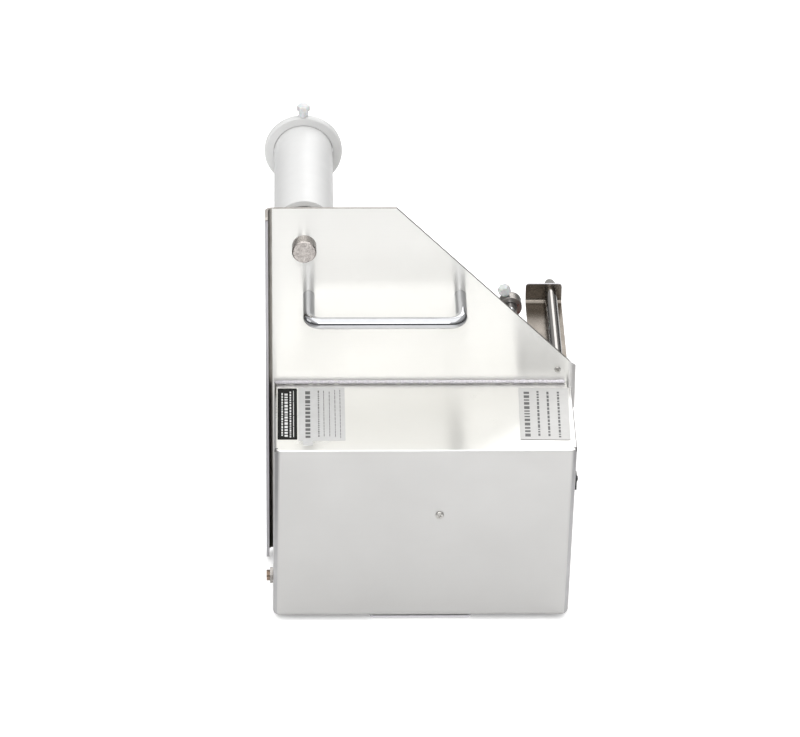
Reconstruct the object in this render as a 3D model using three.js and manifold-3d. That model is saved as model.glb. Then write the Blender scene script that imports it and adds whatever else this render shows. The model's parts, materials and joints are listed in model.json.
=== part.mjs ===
// A bench-top label dispenser: one upright bent sheet carries everything. The drive and its electrics
// sit in a box on one side of it, and the label path runs along the other side.
//
// Millimetres, +Z up. +X is the operator's side, where labels come off. +Y points from the drive box
// to the label side. X = 0 is the drive box's rear top edge, Y = 0 is the sheet's face towards the
// drive box and Z = 0 is the table. The finished group is moved so that its origin is the middle of
// the bottom of its bounding box.

import * as THREE from "three";
import { mergeVertices } from "three/addons/utils/BufferGeometryUtils.js";
import Module from "manifold-3d";

const wasm = await Module();
wasm.setup();

// Clearances
const GAP = 0.3; // between pieces that touch or are screwed together
const RUNNING = 0.3; // all round a shaft in its bush

// Main sheet
const SHEET = 3;
const SHEET_BOTTOM = 5;
const SHEET_TOP = 406;
const SHEET_REAR = -9; // outer face of the rear flange
const FLANGE_DEPTH = 20; // rear flange, towards the drive box
const FLANGE_CORNER = 4;
const BEND_INSIDE = 4;
const SLOPE_START = 123; // where the 45 degree edge leaves the top edge
const NOSE_BEND = 300; // where the sheet starts to turn to the label side
const NOSE_OUTSIDE = 8; // radius of that turn
const NOSE_REACH = 25;
const NOSE_BOTTOM = 171;
const SHEET_LOW_FRONT = 296;

// Drive box
const BOX_WIDTH = 303;
const BOX_DEPTH = 133.8;
const BOX_TOP = 203.4;
const BOX_BOTTOM = 5;
const BOX_WALL = 1.5;
const BOX_EDGE = 6.5; // bend radius round the face towards the user
const BOX_TOP_EDGE = 2;
const LEAN_FRONT = 4.5; // the end walls lean towards the rear at the bottom
const LEAN_REAR = 2.2;
const SEAL_RADIUS = 2.2;
const SEAL_LENGTH = 298;
const RELIEF_RADIUS = 1.8; // bend reliefs at the near top corners
const RELIEF_BACK = 5;
const COVER_HOLE = 2.3; // radius of the cover screw's hole

// Round holes and bushes in the main sheet
const SCREW_HOLE = 2.8;
const BUSH_RADIUS = 10;
const BUSH_FLANGE = 3; // thickness of a bush's flange

// Foot
const FOOT_X = [96, 200];
const FOOT_Y = [-130, 150];
const FOOT_THICK = 2.9;
const PAD_THICK = 1.5;
const PAD_RADIUS = 11;

// Axes that run along Y, as [X, Z]
const SUPPLY_AXIS = [30.3, 364];
const GUIDE_AXIS = [247, 204.4];
const ROD_AXIS = [289, 218.7];
const DRIVE_AXIS = [255, 150];
const REWIND_AXIS = [80, 120];
const MOTOR_AXIS = [214, 84];
const PINCH_PIVOT = [285, 105];
const SENSOR_AXIS = [296, 168];
const STANDOFF_AXIS = [166, 127.4];
const HANDLE_POSTS = [
  [34.9, 306.3],
  [188.2, 306.3],
];

// Supply spindle
const TUBE_RADIUS = 30.3;
const TUBE_WALL = 6;
const TUBE_Y = [37.6, 207];
const SPINDLE_RADIUS = 6.35;
const DISC_RADIUS = 40.3;
const DISC_Y = [200, 208];
const KNOB_RADIUS = 12.25;
const KNOB_LENGTH = 14.5;

// Handle
const HANDLE_RADIUS = 6;
const HANDLE_REACH = 57.2;
const HANDLE_BEND = 13;
const BOLT_HEAD = 5;

// Stickers on the drive box, each as its X and Y ranges
const FILM = 0.3;
const STICKER_BLACK = [[3, 22.8], [-112.5, -12.2]];
const STICKER_SILVER = [[24, 71.2], [-114.7, -10.5]];
const STICKER_WHITE = [[247.6, 298.2], [-114, -12.4]];
const SILVER_TAB = [28.7, 38.5]; // X range of the strip that hangs below the silver sticker
const SILVER_TAB_LENGTH = 9.6;
const WHITE_TURN = -1.2; // degrees

// Label path
const ROD_RADIUS = 6.35;
const TRAY_X = [263, 301];
const TRAY_TOP = 206.6;
const TRAY_SHEET = 2;
const TRAY_END = 160; // near face of the upright tab that carries the rod
const TAB_TOP = 228.4;
const TAB_FOLD = 5;
const COLLAR_RADIUS = 12.3;
const COLLAR_Y = [152, 165];
const COLLAR_INNER_Y = [10, 20];
const COLLAR_SCREW_TILT = 20; // degrees from upright, towards the rear
const SENSOR_RAIL = 3;
const SENSOR_Y = [70, 92];

// Drive roller, pinch roller and its arm
const ROLLER_Y = [12, 166];
const DRIVE_RADIUS = 15;
const PINCH_RADIUS = 10;
const PINCH_ANGLE = -30; // degrees from level, seen from the drive box
const NIP = 0.4;
const PINCH_AXLE = 3;
const PINCH_PIVOT_RADIUS = 4;
const CHEEK_Y = [
  [6, 10],
  [168, 172],
];
const SPRING = { turns: 4, radius: 6.2, pitch: 3, wire: 0.8, start: 173.5 };

// Liner rewind
const REWIND_DISC = 68;
const REWIND_DISC_Y = [7.2, 9.6];
const REWIND_HUB = 19;
const REWIND_HUB_Y = [10, 168];
const CLIP = { wire: 2, half: 17, bend: 6, start: 24, end: 174 };

// Belt drive
const PULLEY_Y = [-29, -15];
const MOTOR_PULLEY = 12;
const DRIVE_PULLEY = 18;
const REWIND_PULLEY = 24;
const BELT_THICK = 2;
const SHAFT_RADIUS = 5;
const SHAFT_REAR = -33; // end of the shafts inside the drive box
const MOTOR_PLATE = { face: -38, thick: 2.5, half: 38, post: 32 };
const MOTOR_LENGTH = 78;

// Electrics
const BOARD = { x: [20, 112], y: -60, z: [22, 78], thick: 1.6 };
const JACK = { y: -105, z: 37.8, thread: 5.75, hole: 6.1, socket: 3.2, pin: 1 };
const SWITCH = {
  y: -110,
  z: 153.2,
  window: [4.9, 7.4], // half sizes along Y and Z
  bezel: [5.8, 8.4],
};
const ROCKER = { halfHeight: 5.1, halfWidth: 3.3, pivotDepth: 2, tilt: 11 };

const X_AXIS = new THREE.Vector3(1, 0, 0);
const Y_AXIS = new THREE.Vector3(0, 1, 0);
const Z_AXIS = new THREE.Vector3(0, 0, 1);

const rad = THREE.MathUtils.degToRad;

// ---------------------------------------------------------------- solids

// A closed geometry as a solid with its faces pointing out.
function solid(geometry) {
  const bare = geometry.clone();
  bare.deleteAttribute("normal");
  bare.deleteAttribute("uv");
  const merged = mergeVertices(bare, 1e-4);
  const vertProperties = new Float32Array(merged.attributes.position.array);
  const triVerts = new Uint32Array(merged.index.array);
  if (signedVolume(vertProperties, triVerts) < 0) triVerts.reverse();
  return new wasm.Manifold(new wasm.Mesh({ numProp: 3, vertProperties, triVerts }));
}

function signedVolume(points, triangles) {
  const a = new THREE.Vector3();
  const b = new THREE.Vector3();
  const c = new THREE.Vector3();
  let total = 0;
  for (let i = 0; i < triangles.length; i += 3) {
    a.fromArray(points, 3 * triangles[i]);
    b.fromArray(points, 3 * triangles[i + 1]);
    c.fromArray(points, 3 * triangles[i + 2]);
    total += a.dot(b.cross(c)) / 6;
  }
  return total;
}

function geometryOf(body) {
  const mesh = body.getMesh();
  const geometry = new THREE.BufferGeometry();
  geometry.setAttribute("position", new THREE.BufferAttribute(new Float32Array(mesh.vertProperties), 3));
  geometry.setIndex(new THREE.BufferAttribute(new Uint32Array(mesh.triVerts), 1));
  geometry.computeVertexNormals();
  return geometry;
}

function join(...bodies) {
  return bodies.reduce((all, body) => all.add(body));
}

function cut(body, ...tools) {
  return tools.reduce((left, tool) => left.subtract(tool), body);
}

function block([x0, x1], [y0, y1], [z0, z1]) {
  const box = new THREE.BoxGeometry(x1 - x0, y1 - y0, z1 - z0);
  return solid(box.translate((x0 + x1) / 2, (y0 + y1) / 2, (z0 + z1) / 2));
}

// A body turned round an axis along Y: its profile is a list of [radius, y].
function turnedY([x, z], profile, segments = 28) {
  const points = profile.map(([r, y]) => new THREE.Vector2(r, y));
  return solid(new THREE.LatheGeometry(points, segments).translate(x, 0, z));
}

function rodY(axis, radius, [y0, y1], segments = 24) {
  const profile = [
    [0, y0],
    [radius, y0],
    [radius, y1],
    [0, y1],
  ];
  return turnedY(axis, profile, segments);
}

function ringY(axis, outer, inner, [y0, y1], segments = 28) {
  const profile = [
    [outer, y0],
    [outer, y1],
    [inner, y1],
    [inner, y0],
    [outer, y0],
  ];
  return turnedY(axis, profile, segments);
}

// The same kind of body along any direction: the profile is a list of [radius, distance].
function turnedAlong(origin, direction, profile, segments = 20) {
  const points = profile.map(([r, d]) => new THREE.Vector2(r, d));
  const lathe = new THREE.LatheGeometry(points, segments);
  const turn = new THREE.Quaternion().setFromUnitVectors(Y_AXIS, direction.clone().normalize());
  return solid(lathe.applyQuaternion(turn).translate(origin.x, origin.y, origin.z));
}

function rodAlong(origin, direction, radius, [d0, d1], segments = 16) {
  const profile = [
    [0, d0],
    [radius, d0],
    [radius, d1],
    [0, d1],
  ];
  return turnedAlong(origin, direction, profile, segments);
}

// An outline in X and Z, as thick as the Y range.
function prismXZ(shape, [y0, y1], curveSegments = 6) {
  const flat = new THREE.ExtrudeGeometry(shape, { depth: y1 - y0, bevelEnabled: false, curveSegments });
  return solid(flat.rotateX(Math.PI / 2).translate(0, y1, 0));
}

// An outline in X and Y, as thick as the Z range.
function prismXY(shape, [z0, z1], curveSegments = 6) {
  const flat = new THREE.ExtrudeGeometry(shape, { depth: z1 - z0, bevelEnabled: false, curveSegments });
  return solid(flat.translate(0, 0, z0));
}

// An outline in Y and Z, as thick as the X range.
function prismYZ(shape, [x0, x1], curveSegments = 6) {
  const flat = new THREE.ExtrudeGeometry(shape, { depth: x1 - x0, bevelEnabled: false, curveSegments });
  const turn = new THREE.Matrix4().makeBasis(Y_AXIS, Z_AXIS, X_AXIS);
  return solid(flat.applyMatrix4(turn).translate(x0, 0, 0));
}

function around(centre, half) {
  return [centre - half, centre + half];
}

function outline(points) {
  return new THREE.Shape(points.map(([x, y]) => new THREE.Vector2(x, y)));
}

function roundedRectangle([x0, x1], [y0, y1], r) {
  const shape = new THREE.Shape();
  shape.absarc(x1 - r, y0 + r, r, -Math.PI / 2, 0);
  shape.absarc(x1 - r, y1 - r, r, 0, Math.PI / 2);
  shape.absarc(x0 + r, y1 - r, r, Math.PI / 2, Math.PI);
  shape.absarc(x0 + r, y0 + r, r, Math.PI, 1.5 * Math.PI);
  return shape;
}

// A closed body through rings of points, each ring convex and with the same number of points.
function loft(rings) {
  const count = rings[0].length;
  const positions = rings.flat().flatMap((p) => [p.x, p.y, p.z]);
  const index = [];
  for (let i = 0; i + 1 < rings.length; i++) {
    for (let j = 0; j < count; j++) {
      const a = i * count + j;
      const b = i * count + ((j + 1) % count);
      index.push(a, b, b + count, a, b + count, a + count);
    }
  }
  const last = (rings.length - 1) * count;
  for (let j = 1; j + 1 < count; j++) {
    index.push(0, j + 1, j, last, last + j, last + j + 1);
  }
  const geometry = new THREE.BufferGeometry();
  geometry.setAttribute("position", new THREE.Float32BufferAttribute(positions, 3));
  geometry.setIndex(index);
  return solid(geometry);
}

// A round bar along a list of points. Each ring stands square to the path, and 'side' is a
// direction that the path never runs along.
function bar(path, radius, sides, side) {
  const rings = path.map((point, i) => {
    const before = path[Math.max(i - 1, 0)];
    const after = path[Math.min(i + 1, path.length - 1)];
    const along = after.clone().sub(before).normalize();
    const u = new THREE.Vector3().crossVectors(side, along).normalize();
    const v = new THREE.Vector3().crossVectors(along, u);
    return Array.from({ length: sides }, (_, k) => {
      const angle = (2 * Math.PI * k) / sides;
      const out = u.clone().multiplyScalar(radius * Math.cos(angle));
      return out.addScaledVector(v, radius * Math.sin(angle)).add(point);
    });
  });
  return loft(rings);
}

function arcPoints(count, from, to, at) {
  return Array.from({ length: count }, (_, i) => at(from + ((to - from) * i) / (count - 1)));
}

// ---------------------------------------------------------------- materials

function finish(color, roughness, metalness) {
  return new THREE.MeshStandardMaterial({ color, roughness, metalness });
}

const polishedSteel = finish(0xe4e3de, 0.22, 1);
const satinSteel = finish(0xc2c2c0, 0.45, 1);
const chrome = finish(0xd8dade, 0.08, 1);
const aluminium = finish(0xa9a39c, 0.4, 1);
const zinc = finish(0x9b9a96, 0.5, 1);
const brass = finish(0xb08a4a, 0.35, 1);
const whitePlastic = finish(0xeeeeea, 0.45, 0);
const nylon = finish(0xe6e8e6, 0.5, 0);
const blackPlastic = finish(0x151515, 0.5, 0);
const rubber = finish(0x1c1c1c, 0.85, 0);
const redRubber = finish(0x7a2a20, 0.75, 0);
const boardGreen = finish(0x1d5a34, 0.6, 0);
const paper = finish(0xf0f0ee, 0.6, 0);
const blackFilm = finish(0x101010, 0.4, 0);
const silverFilm = finish(0xbdbdbb, 0.5, 0.2);

const machine = new THREE.Group();

function piece(name, body, material) {
  const mesh = new THREE.Mesh(geometryOf(body), material);
  mesh.name = name;
  machine.add(mesh);
}

// ---------------------------------------------------------------- sheet and drive box

function flatOfSheet() {
  const slopeAt = (x) => SHEET_TOP - (x - SLOPE_START);
  const face = outline([
    [SHEET_REAR + SHEET + BEND_INSIDE, SHEET_BOTTOM],
    [SHEET_LOW_FRONT, SHEET_BOTTOM],
    [SHEET_LOW_FRONT, NOSE_BOTTOM - 4],
    [NOSE_BEND, NOSE_BOTTOM],
    [NOSE_BEND, slopeAt(NOSE_BEND)],
    [SLOPE_START, SHEET_TOP],
    [SHEET_REAR + SHEET + BEND_INSIDE, SHEET_TOP],
  ]);
  return prismXZ(face, [0, SHEET]);
}

function rearFlange() {
  const outside = BEND_INSIDE + SHEET;
  const bendX = SHEET_REAR + outside;
  const plan = new THREE.Shape();
  plan.moveTo(bendX + 1, SHEET);
  plan.lineTo(bendX, SHEET);
  plan.absarc(bendX, -BEND_INSIDE, outside, Math.PI / 2, Math.PI);
  plan.lineTo(SHEET_REAR, -FLANGE_DEPTH);
  plan.lineTo(SHEET_REAR + SHEET, -FLANGE_DEPTH);
  plan.absarc(bendX, -BEND_INSIDE, BEND_INSIDE, Math.PI, Math.PI / 2, true);
  plan.lineTo(bendX + 1, 0);
  const side = new THREE.Shape();
  side.moveTo(SHEET + 1, SHEET_BOTTOM);
  side.lineTo(SHEET + 1, SHEET_TOP);
  const corner = SHEET_TOP - FLANGE_CORNER;
  side.absarc(-FLANGE_DEPTH + FLANGE_CORNER, corner, FLANGE_CORNER, Math.PI / 2, Math.PI);
  side.lineTo(-FLANGE_DEPTH, SHEET_BOTTOM + 1);
  side.lineTo(-FLANGE_DEPTH + 1, SHEET_BOTTOM);
  const length = [SHEET_BOTTOM, SHEET_TOP];
  return prismXY(plan, length).intersect(prismYZ(side, [SHEET_REAR - 1, bendX + 2], 4));
}

// The nose turns to the label side. Its top edge keeps falling at 45 degrees along the sheet.
function nose() {
  const neutral = NOSE_OUTSIDE - SHEET / 2;
  const startTop = SHEET_TOP - (NOSE_BEND - SLOPE_START);
  const ring = (near, far, top) => [
    new THREE.Vector3(near[0], near[1], NOSE_BOTTOM),
    new THREE.Vector3(near[0], near[1], top),
    new THREE.Vector3(far[0], far[1], top),
    new THREE.Vector3(far[0], far[1], NOSE_BOTTOM),
  ];
  const rings = [ring([NOSE_BEND - 2, 0], [NOSE_BEND - 2, SHEET], startTop + 2)];
  const turn = (angle) => {
    const at = (radius) => [
      NOSE_BEND + radius * Math.sin(angle),
      NOSE_OUTSIDE - radius * Math.cos(angle),
    ];
    return ring(at(NOSE_OUTSIDE), at(NOSE_OUTSIDE - SHEET), startTop - neutral * angle);
  };
  rings.push(...arcPoints(6, 0, Math.PI / 2, turn));
  const endTop = startTop - (neutral * Math.PI) / 2 - (NOSE_REACH - NOSE_OUTSIDE);
  const outer = NOSE_BEND + NOSE_OUTSIDE;
  rings.push(ring([outer, NOSE_REACH], [outer - SHEET, NOSE_REACH], endTop));
  return loft(rings);
}

function mainPlate() {
  const through = [-1, SHEET + 1];
  const screws = [...HANDLE_POSTS, ROD_AXIS].map((axis) => rodY(axis, SCREW_HOLE, through, 12));
  const bushAxes = [SUPPLY_AXIS, DRIVE_AXIS, REWIND_AXIS];
  const bushes = bushAxes.map((axis) => rodY(axis, BUSH_RADIUS + GAP, through, 24));
  return cut(join(flatOfSheet(), rearFlange(), nose()), ...screws, ...bushes);
}

// The box's outline in X and Z, moved in from its end walls and bottom by 'inset', and from its top
// by 'topInset'.
function boxRing(y, inset, topInset) {
  const corner = Math.max(BOX_EDGE - inset, 0.5);
  const bottom = BOX_BOTTOM + inset;
  const top = BOX_TOP - topInset;
  const rear = -LEAN_REAR + inset;
  const front = BOX_WIDTH - LEAN_FRONT - inset;
  const arc = (x, from, to) =>
    arcPoints(4, from, to, (angle) => {
      const px = x + corner * Math.cos(angle);
      return new THREE.Vector3(px, y, bottom + corner + corner * Math.sin(angle));
    });
  return [
    new THREE.Vector3(inset, y, top),
    ...arc(rear + corner, Math.PI, 1.5 * Math.PI),
    ...arc(front - corner, 1.5 * Math.PI, 2 * Math.PI),
    new THREE.Vector3(BOX_WIDTH - inset, y, top),
  ];
}

function boxShape(wall) {
  const round = (radius, depth) => radius - Math.sqrt(Math.max(radius ** 2 - (radius - depth) ** 2, 0));
  const rings = [0, 0.25, 0.6, 1].map((share) => {
    const depth = Math.max(BOX_EDGE * share, 0.02);
    const inset = wall + round(BOX_EDGE, depth);
    const topInset = wall + (depth < BOX_TOP_EDGE ? round(BOX_TOP_EDGE, depth) : 0);
    return boxRing(-BOX_DEPTH + wall + depth, inset, topInset);
  });
  const back = wall > 0 ? 2 : -GAP;
  rings.push(boxRing(back, wall, wall));
  return loft(rings);
}

// Where the end walls stand at height z
function rearWall(z) {
  return (-LEAN_REAR * (BOX_TOP - z)) / (BOX_TOP - BOX_BOTTOM);
}

function frontWall(z) {
  return BOX_WIDTH - (LEAN_FRONT * (BOX_TOP - z)) / (BOX_TOP - BOX_BOTTOM);
}

function jackPoint() {
  return new THREE.Vector3(rearWall(JACK.z), JACK.y, JACK.z);
}

// The Y and Z ranges of a rectangle round the switch's middle
function switchArea([halfY, halfZ], inset = 0) {
  return [around(SWITCH.y, halfY - inset), around(SWITCH.z, halfZ - inset)];
}

// The plane that the switch's bezel seats against: the front wall where the bezel's lower end is
function switchFace() {
  return frontWall(SWITCH.z - SWITCH.bezel[1] - 0.5) + GAP;
}

function driveBoxHoles() {
  const near = -BOX_DEPTH;
  const screw = rodY(STANDOFF_AXIS, COVER_HOLE, [near - 1, near + 4], 12);
  const relief = (x) => {
    const corner = new THREE.Vector3(x, near + RELIEF_BACK, BOX_TOP);
    return rodAlong(corner, Z_AXIS, RELIEF_RADIUS, [-4, 1], 10);
  };
  const noseNotch = block([BOX_WIDTH - 4.5, BOX_WIDTH + 1], [-11, 1], [BOX_TOP - 9, BOX_TOP + 1]);
  const jack = rodAlong(jackPoint(), X_AXIS, JACK.hole, [-6, 8], 16);
  const window = block([BOX_WIDTH - 12, BOX_WIDTH + 2], ...switchArea(SWITCH.window));
  return [screw, relief(1.6), relief(BOX_WIDTH - 1.6), noseNotch, jack, window];
}

function sealBead() {
  const y = -GAP - SEAL_RADIUS - 0.1;
  const z = BOX_TOP + GAP + SEAL_RADIUS;
  return rodAlong(new THREE.Vector3(-1, y, z), X_AXIS, SEAL_RADIUS, [0, SEAL_LENGTH], 12);
}

function coverStandoff() {
  const near = -BOX_DEPTH + BOX_WALL + GAP;
  const hex = turnedY(STANDOFF_AXIS, [[0, near], [5.5, near], [5.5, -GAP], [0, -GAP]], 6);
  return cut(hex, rodY(STANDOFF_AXIS, COVER_HOLE, [near - 1, near + 14], 12));
}

// A pan head with a cross recess, seen from the drive box side, and its shank.
function panScrew(axis, seat, headRadius, headHeight, shankRadius, shankEnd) {
  const head = [
    [0, seat - headHeight],
    [headRadius * 0.55, seat - headHeight],
    [headRadius * 0.88, seat - headHeight * 0.7],
    [headRadius, seat - headHeight * 0.2],
    [headRadius, seat],
    [shankRadius, seat],
    [shankRadius, shankEnd],
    [0, shankEnd],
  ];
  const [x, z] = axis;
  const slot = headRadius * 0.14;
  const reach = headRadius * 0.5;
  const depth = [seat - headHeight - 1, seat - headHeight * 0.45];
  const level = block([x - reach, x + reach], depth, [z - slot, z + slot]);
  const upright = block([x - slot, x + slot], depth, [z - reach, z + reach]);
  return cut(turnedY(axis, head, 20), level, upright);
}

function buildStructure() {
  piece("main_plate", mainPlate(), polishedSteel);
  piece("drive_box_cover", cut(boxShape(0), boxShape(BOX_WALL), ...driveBoxHoles()), satinSteel);
  piece("seam_seal", sealBead(), silverFilm);
  piece("cover_standoff", coverStandoff(), zinc);
  const seat = -BOX_DEPTH - GAP;
  piece("cover_screw", panScrew(STANDOFF_AXIS, seat, 4.15, 2.2, 2, seat + 12), zinc);
  piece("rod_screw", panScrew(ROD_AXIS, -GAP, 3.25, 1.3, 1.7, 14), zinc);
}

// ---------------------------------------------------------------- foot

function buildFoot() {
  const top = PAD_THICK + GAP + FOOT_THICK;
  const plate = prismXY(roundedRectangle(FOOT_X, FOOT_Y, 6), [PAD_THICK + GAP, top], 4);
  piece("foot_plate", plate, satinSteel);
  const inset = PAD_RADIUS + 3;
  let number = 1;
  for (const x of [FOOT_X[0] + inset, FOOT_X[1] - inset]) {
    for (const y of [FOOT_Y[0] + inset + 4, FOOT_Y[1] - inset]) {
      const pad = rodAlong(new THREE.Vector3(x, y, 0), Z_AXIS, PAD_RADIUS, [0, PAD_THICK], 20);
      piece(`foot_pad_${number++}`, pad, rubber);
    }
  }
  const face = SHEET + GAP;
  const leg = outline([
    [face, SHEET_BOTTOM],
    [face + 36, SHEET_BOTTOM],
    [face + 36, SHEET_BOTTOM + 3],
    [face + 3, SHEET_BOTTOM + 3],
    [face + 3, SHEET_BOTTOM + 38],
    [face, SHEET_BOTTOM + 38],
  ]);
  piece("foot_bracket", prismYZ(leg, [FOOT_X[0] + 6, FOOT_X[1] - 6]), satinSteel);
}

// ---------------------------------------------------------------- stickers on the drive box

const FILM_Z = [BOX_TOP + GAP, BOX_TOP + GAP + FILM];

function sticker([x, y]) {
  return prismXY(roundedRectangle(x, y, 1.2), FILM_Z, 3);
}

function buildStickers() {
  piece("sticker_black", sticker(STICKER_BLACK), blackFilm);
  const silverEnd = STICKER_SILVER[1][0];
  const tab = block(SILVER_TAB, [silverEnd - SILVER_TAB_LENGTH, silverEnd + 1], FILM_Z);
  piece("sticker_silver", join(sticker(STICKER_SILVER), tab), silverFilm);
  const [cx, cy] = STICKER_WHITE.map(([low, high]) => (low + high) / 2);
  const centred = sticker(STICKER_WHITE).translate([-cx, -cy, 0]);
  piece("sticker_white", centred.rotate([0, 0, WHITE_TURN]).translate([cx, cy, 0]), paper);
}

// ---------------------------------------------------------------- handle

function handlePath() {
  const [[x0, z], [x1]] = HANDLE_POSTS;
  const r = HANDLE_BEND;
  const y = -HANDLE_REACH;
  const at = (cx, angle) =>
    new THREE.Vector3(cx + r * Math.cos(angle), y + r + r * Math.sin(angle), z);
  return [
    new THREE.Vector3(x0, -GAP, z),
    ...arcPoints(6, Math.PI, 1.5 * Math.PI, (angle) => at(x0 + r, angle)),
    ...arcPoints(6, 1.5 * Math.PI, 2 * Math.PI, (angle) => at(x1 - r, angle)),
    new THREE.Vector3(x1, -GAP, z),
  ];
}

function buildHandle() {
  const bores = HANDLE_POSTS.map((axis) => rodY(axis, SCREW_HOLE, [-16, 1], 12));
  piece("carry_handle", cut(bar(handlePath(), HANDLE_RADIUS, 16, Z_AXIS), ...bores), chrome);
  ["rear", "front"].forEach((end, i) => {
    const head = SHEET + GAP;
    const profile = [
      [0, -13],
      [2.4, -13],
      [2.4, head],
      [BOLT_HEAD, head],
      [BOLT_HEAD, head + 2.6],
      [3.6, head + 3.6],
      [0, head + 3.6],
    ];
    piece(`handle_bolt_${end}`, turnedY(HANDLE_POSTS[i], profile, 16), zinc);
  });
}

// ---------------------------------------------------------------- supply spindle

// A bush pressed into the sheet, with its flange on the label side.
function flangedBush(axis, bore, flange) {
  const face = SHEET + GAP;
  const profile = [
    [BUSH_RADIUS, 0],
    [BUSH_RADIUS, face],
    [flange, face],
    [flange, face + BUSH_FLANGE],
    [bore, face + BUSH_FLANGE],
    [bore, 0],
    [BUSH_RADIUS, 0],
  ];
  return turnedY(axis, profile, 20);
}

// The head of a plastic thumb screw: six lobes round its axis.
function lobedHead(radius, height) {
  const shape = new THREE.Shape();
  const lobes = 6;
  for (let i = 0; i < lobes * 4; i++) {
    const angle = (Math.PI * i) / (lobes * 2);
    const r = radius * (0.93 + 0.07 * Math.cos(lobes * angle));
    const method = i ? "lineTo" : "moveTo";
    shape[method](r * Math.cos(angle), r * Math.sin(angle));
  }
  const flat = new THREE.ExtrudeGeometry(shape, { depth: height, bevelEnabled: false });
  return flat.rotateX(-Math.PI / 2);
}

function thumbScrew(origin, direction, spec) {
  const turn = new THREE.Quaternion().setFromUnitVectors(Y_AXIS, direction);
  const head = lobedHead(spec.head, spec.top - spec.neckTop).translate(0, spec.neckTop, 0);
  const knob = solid(head.applyQuaternion(turn).translate(origin.x, origin.y, origin.z));
  const stem = [
    [0, spec.tip],
    [spec.shank, spec.tip],
    [spec.shank, spec.neckFoot],
    [spec.neck, spec.neckFoot],
    [spec.neck, spec.neckTop + 0.5],
    [0, spec.neckTop + 0.5],
  ];
  return knob.add(turnedAlong(origin, direction, stem, 16));
}

function rollFlange() {
  const edge = 1.5;
  const profile = [
    [TUBE_RADIUS + RUNNING, DISC_Y[0]],
    [DISC_RADIUS - edge, DISC_Y[0]],
    [DISC_RADIUS, DISC_Y[0] + edge],
    [DISC_RADIUS, DISC_Y[1] - edge],
    [DISC_RADIUS - edge, DISC_Y[1]],
    [TUBE_RADIUS + RUNNING, DISC_Y[1]],
    [TUBE_RADIUS + RUNNING, DISC_Y[0]],
  ];
  const middle = new THREE.Vector3(SUPPLY_AXIS[0], (DISC_Y[0] + DISC_Y[1]) / 2, SUPPLY_AXIS[1]);
  return cut(turnedY(SUPPLY_AXIS, profile, 36), rodAlong(middle, Z_AXIS, 3.3, [20, 45], 10));
}

function buildSupply() {
  const bore = SPINDLE_RADIUS + RUNNING;
  const inner = TUBE_RADIUS - TUBE_WALL;
  piece("supply_bush", flangedBush(SUPPLY_AXIS, bore, 15), brass);
  piece("supply_spindle", rodY(SUPPLY_AXIS, SPINDLE_RADIUS, [-KNOB_LENGTH + 2, 214]), zinc);
  const knobFace = -2 * GAP - KNOB_LENGTH;
  const knob = [
    [0, knobFace],
    [KNOB_RADIUS - 0.9, knobFace],
    [KNOB_RADIUS, knobFace + 0.9],
    [KNOB_RADIUS, -2 * GAP],
    [bore, -2 * GAP],
    [bore, knobFace + 2],
    [0, knobFace + 2],
  ];
  piece("spindle_knob", turnedY(SUPPLY_AXIS, knob, 32), chrome);
  piece("supply_tube", ringY(SUPPLY_AXIS, TUBE_RADIUS, inner, TUBE_Y, 36), whitePlastic);
  piece("tube_hub_inner", ringY(SUPPLY_AXIS, inner - GAP, bore, [62, 74], 24), whitePlastic);
  piece("tube_hub_outer", ringY(SUPPLY_AXIS, inner - GAP, bore, [194, 206.5], 24), whitePlastic);
  piece("roll_flange", rollFlange(), whitePlastic);
  const middle = new THREE.Vector3(SUPPLY_AXIS[0], (DISC_Y[0] + DISC_Y[1]) / 2, SUPPLY_AXIS[1]);
  const screw = { tip: 31, shank: 3, neckFoot: 40.7, neck: 5, neckTop: 46.3, head: 7, top: 53 };
  piece("roll_flange_screw", thumbScrew(middle, Z_AXIS, screw), nylon);
}

// ---------------------------------------------------------------- guide rod and collars

function collarDirection() {
  const tilt = rad(COLLAR_SCREW_TILT);
  return new THREE.Vector3(-Math.sin(tilt), 0, Math.cos(tilt));
}

function collar(range) {
  const middle = new THREE.Vector3(GUIDE_AXIS[0], (range[0] + range[1]) / 2, GUIDE_AXIS[1]);
  const ring = ringY(GUIDE_AXIS, COLLAR_RADIUS, SPINDLE_RADIUS + RUNNING, range, 28);
  return cut(ring, rodAlong(middle, collarDirection(), 2.3, [4, 16], 12));
}

function buildGuides() {
  const face = SHEET + GAP;
  const rod = [
    [0, face],
    [11, face],
    [11, face + 3.5],
    [SPINDLE_RADIUS, face + 3.5],
    [SPINDLE_RADIUS, 171],
    [0, 171],
  ];
  piece("guide_rod", turnedY(GUIDE_AXIS, rod), chrome);
  piece("guide_collar_inner", collar(COLLAR_INNER_Y), zinc);
  piece("guide_collar_outer", collar(COLLAR_Y), zinc);
  const middle = new THREE.Vector3(GUIDE_AXIS[0], (COLLAR_Y[0] + COLLAR_Y[1]) / 2, GUIDE_AXIS[1]);
  const screw = { tip: 7, shank: 2, neckFoot: 12.6, neck: 3.4, neckTop: 14.6, head: 6.6, top: 23.8 };
  piece("guide_collar_screw", thumbScrew(middle, collarDirection(), screw), nylon);
}

// ---------------------------------------------------------------- strip tray and rod

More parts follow.
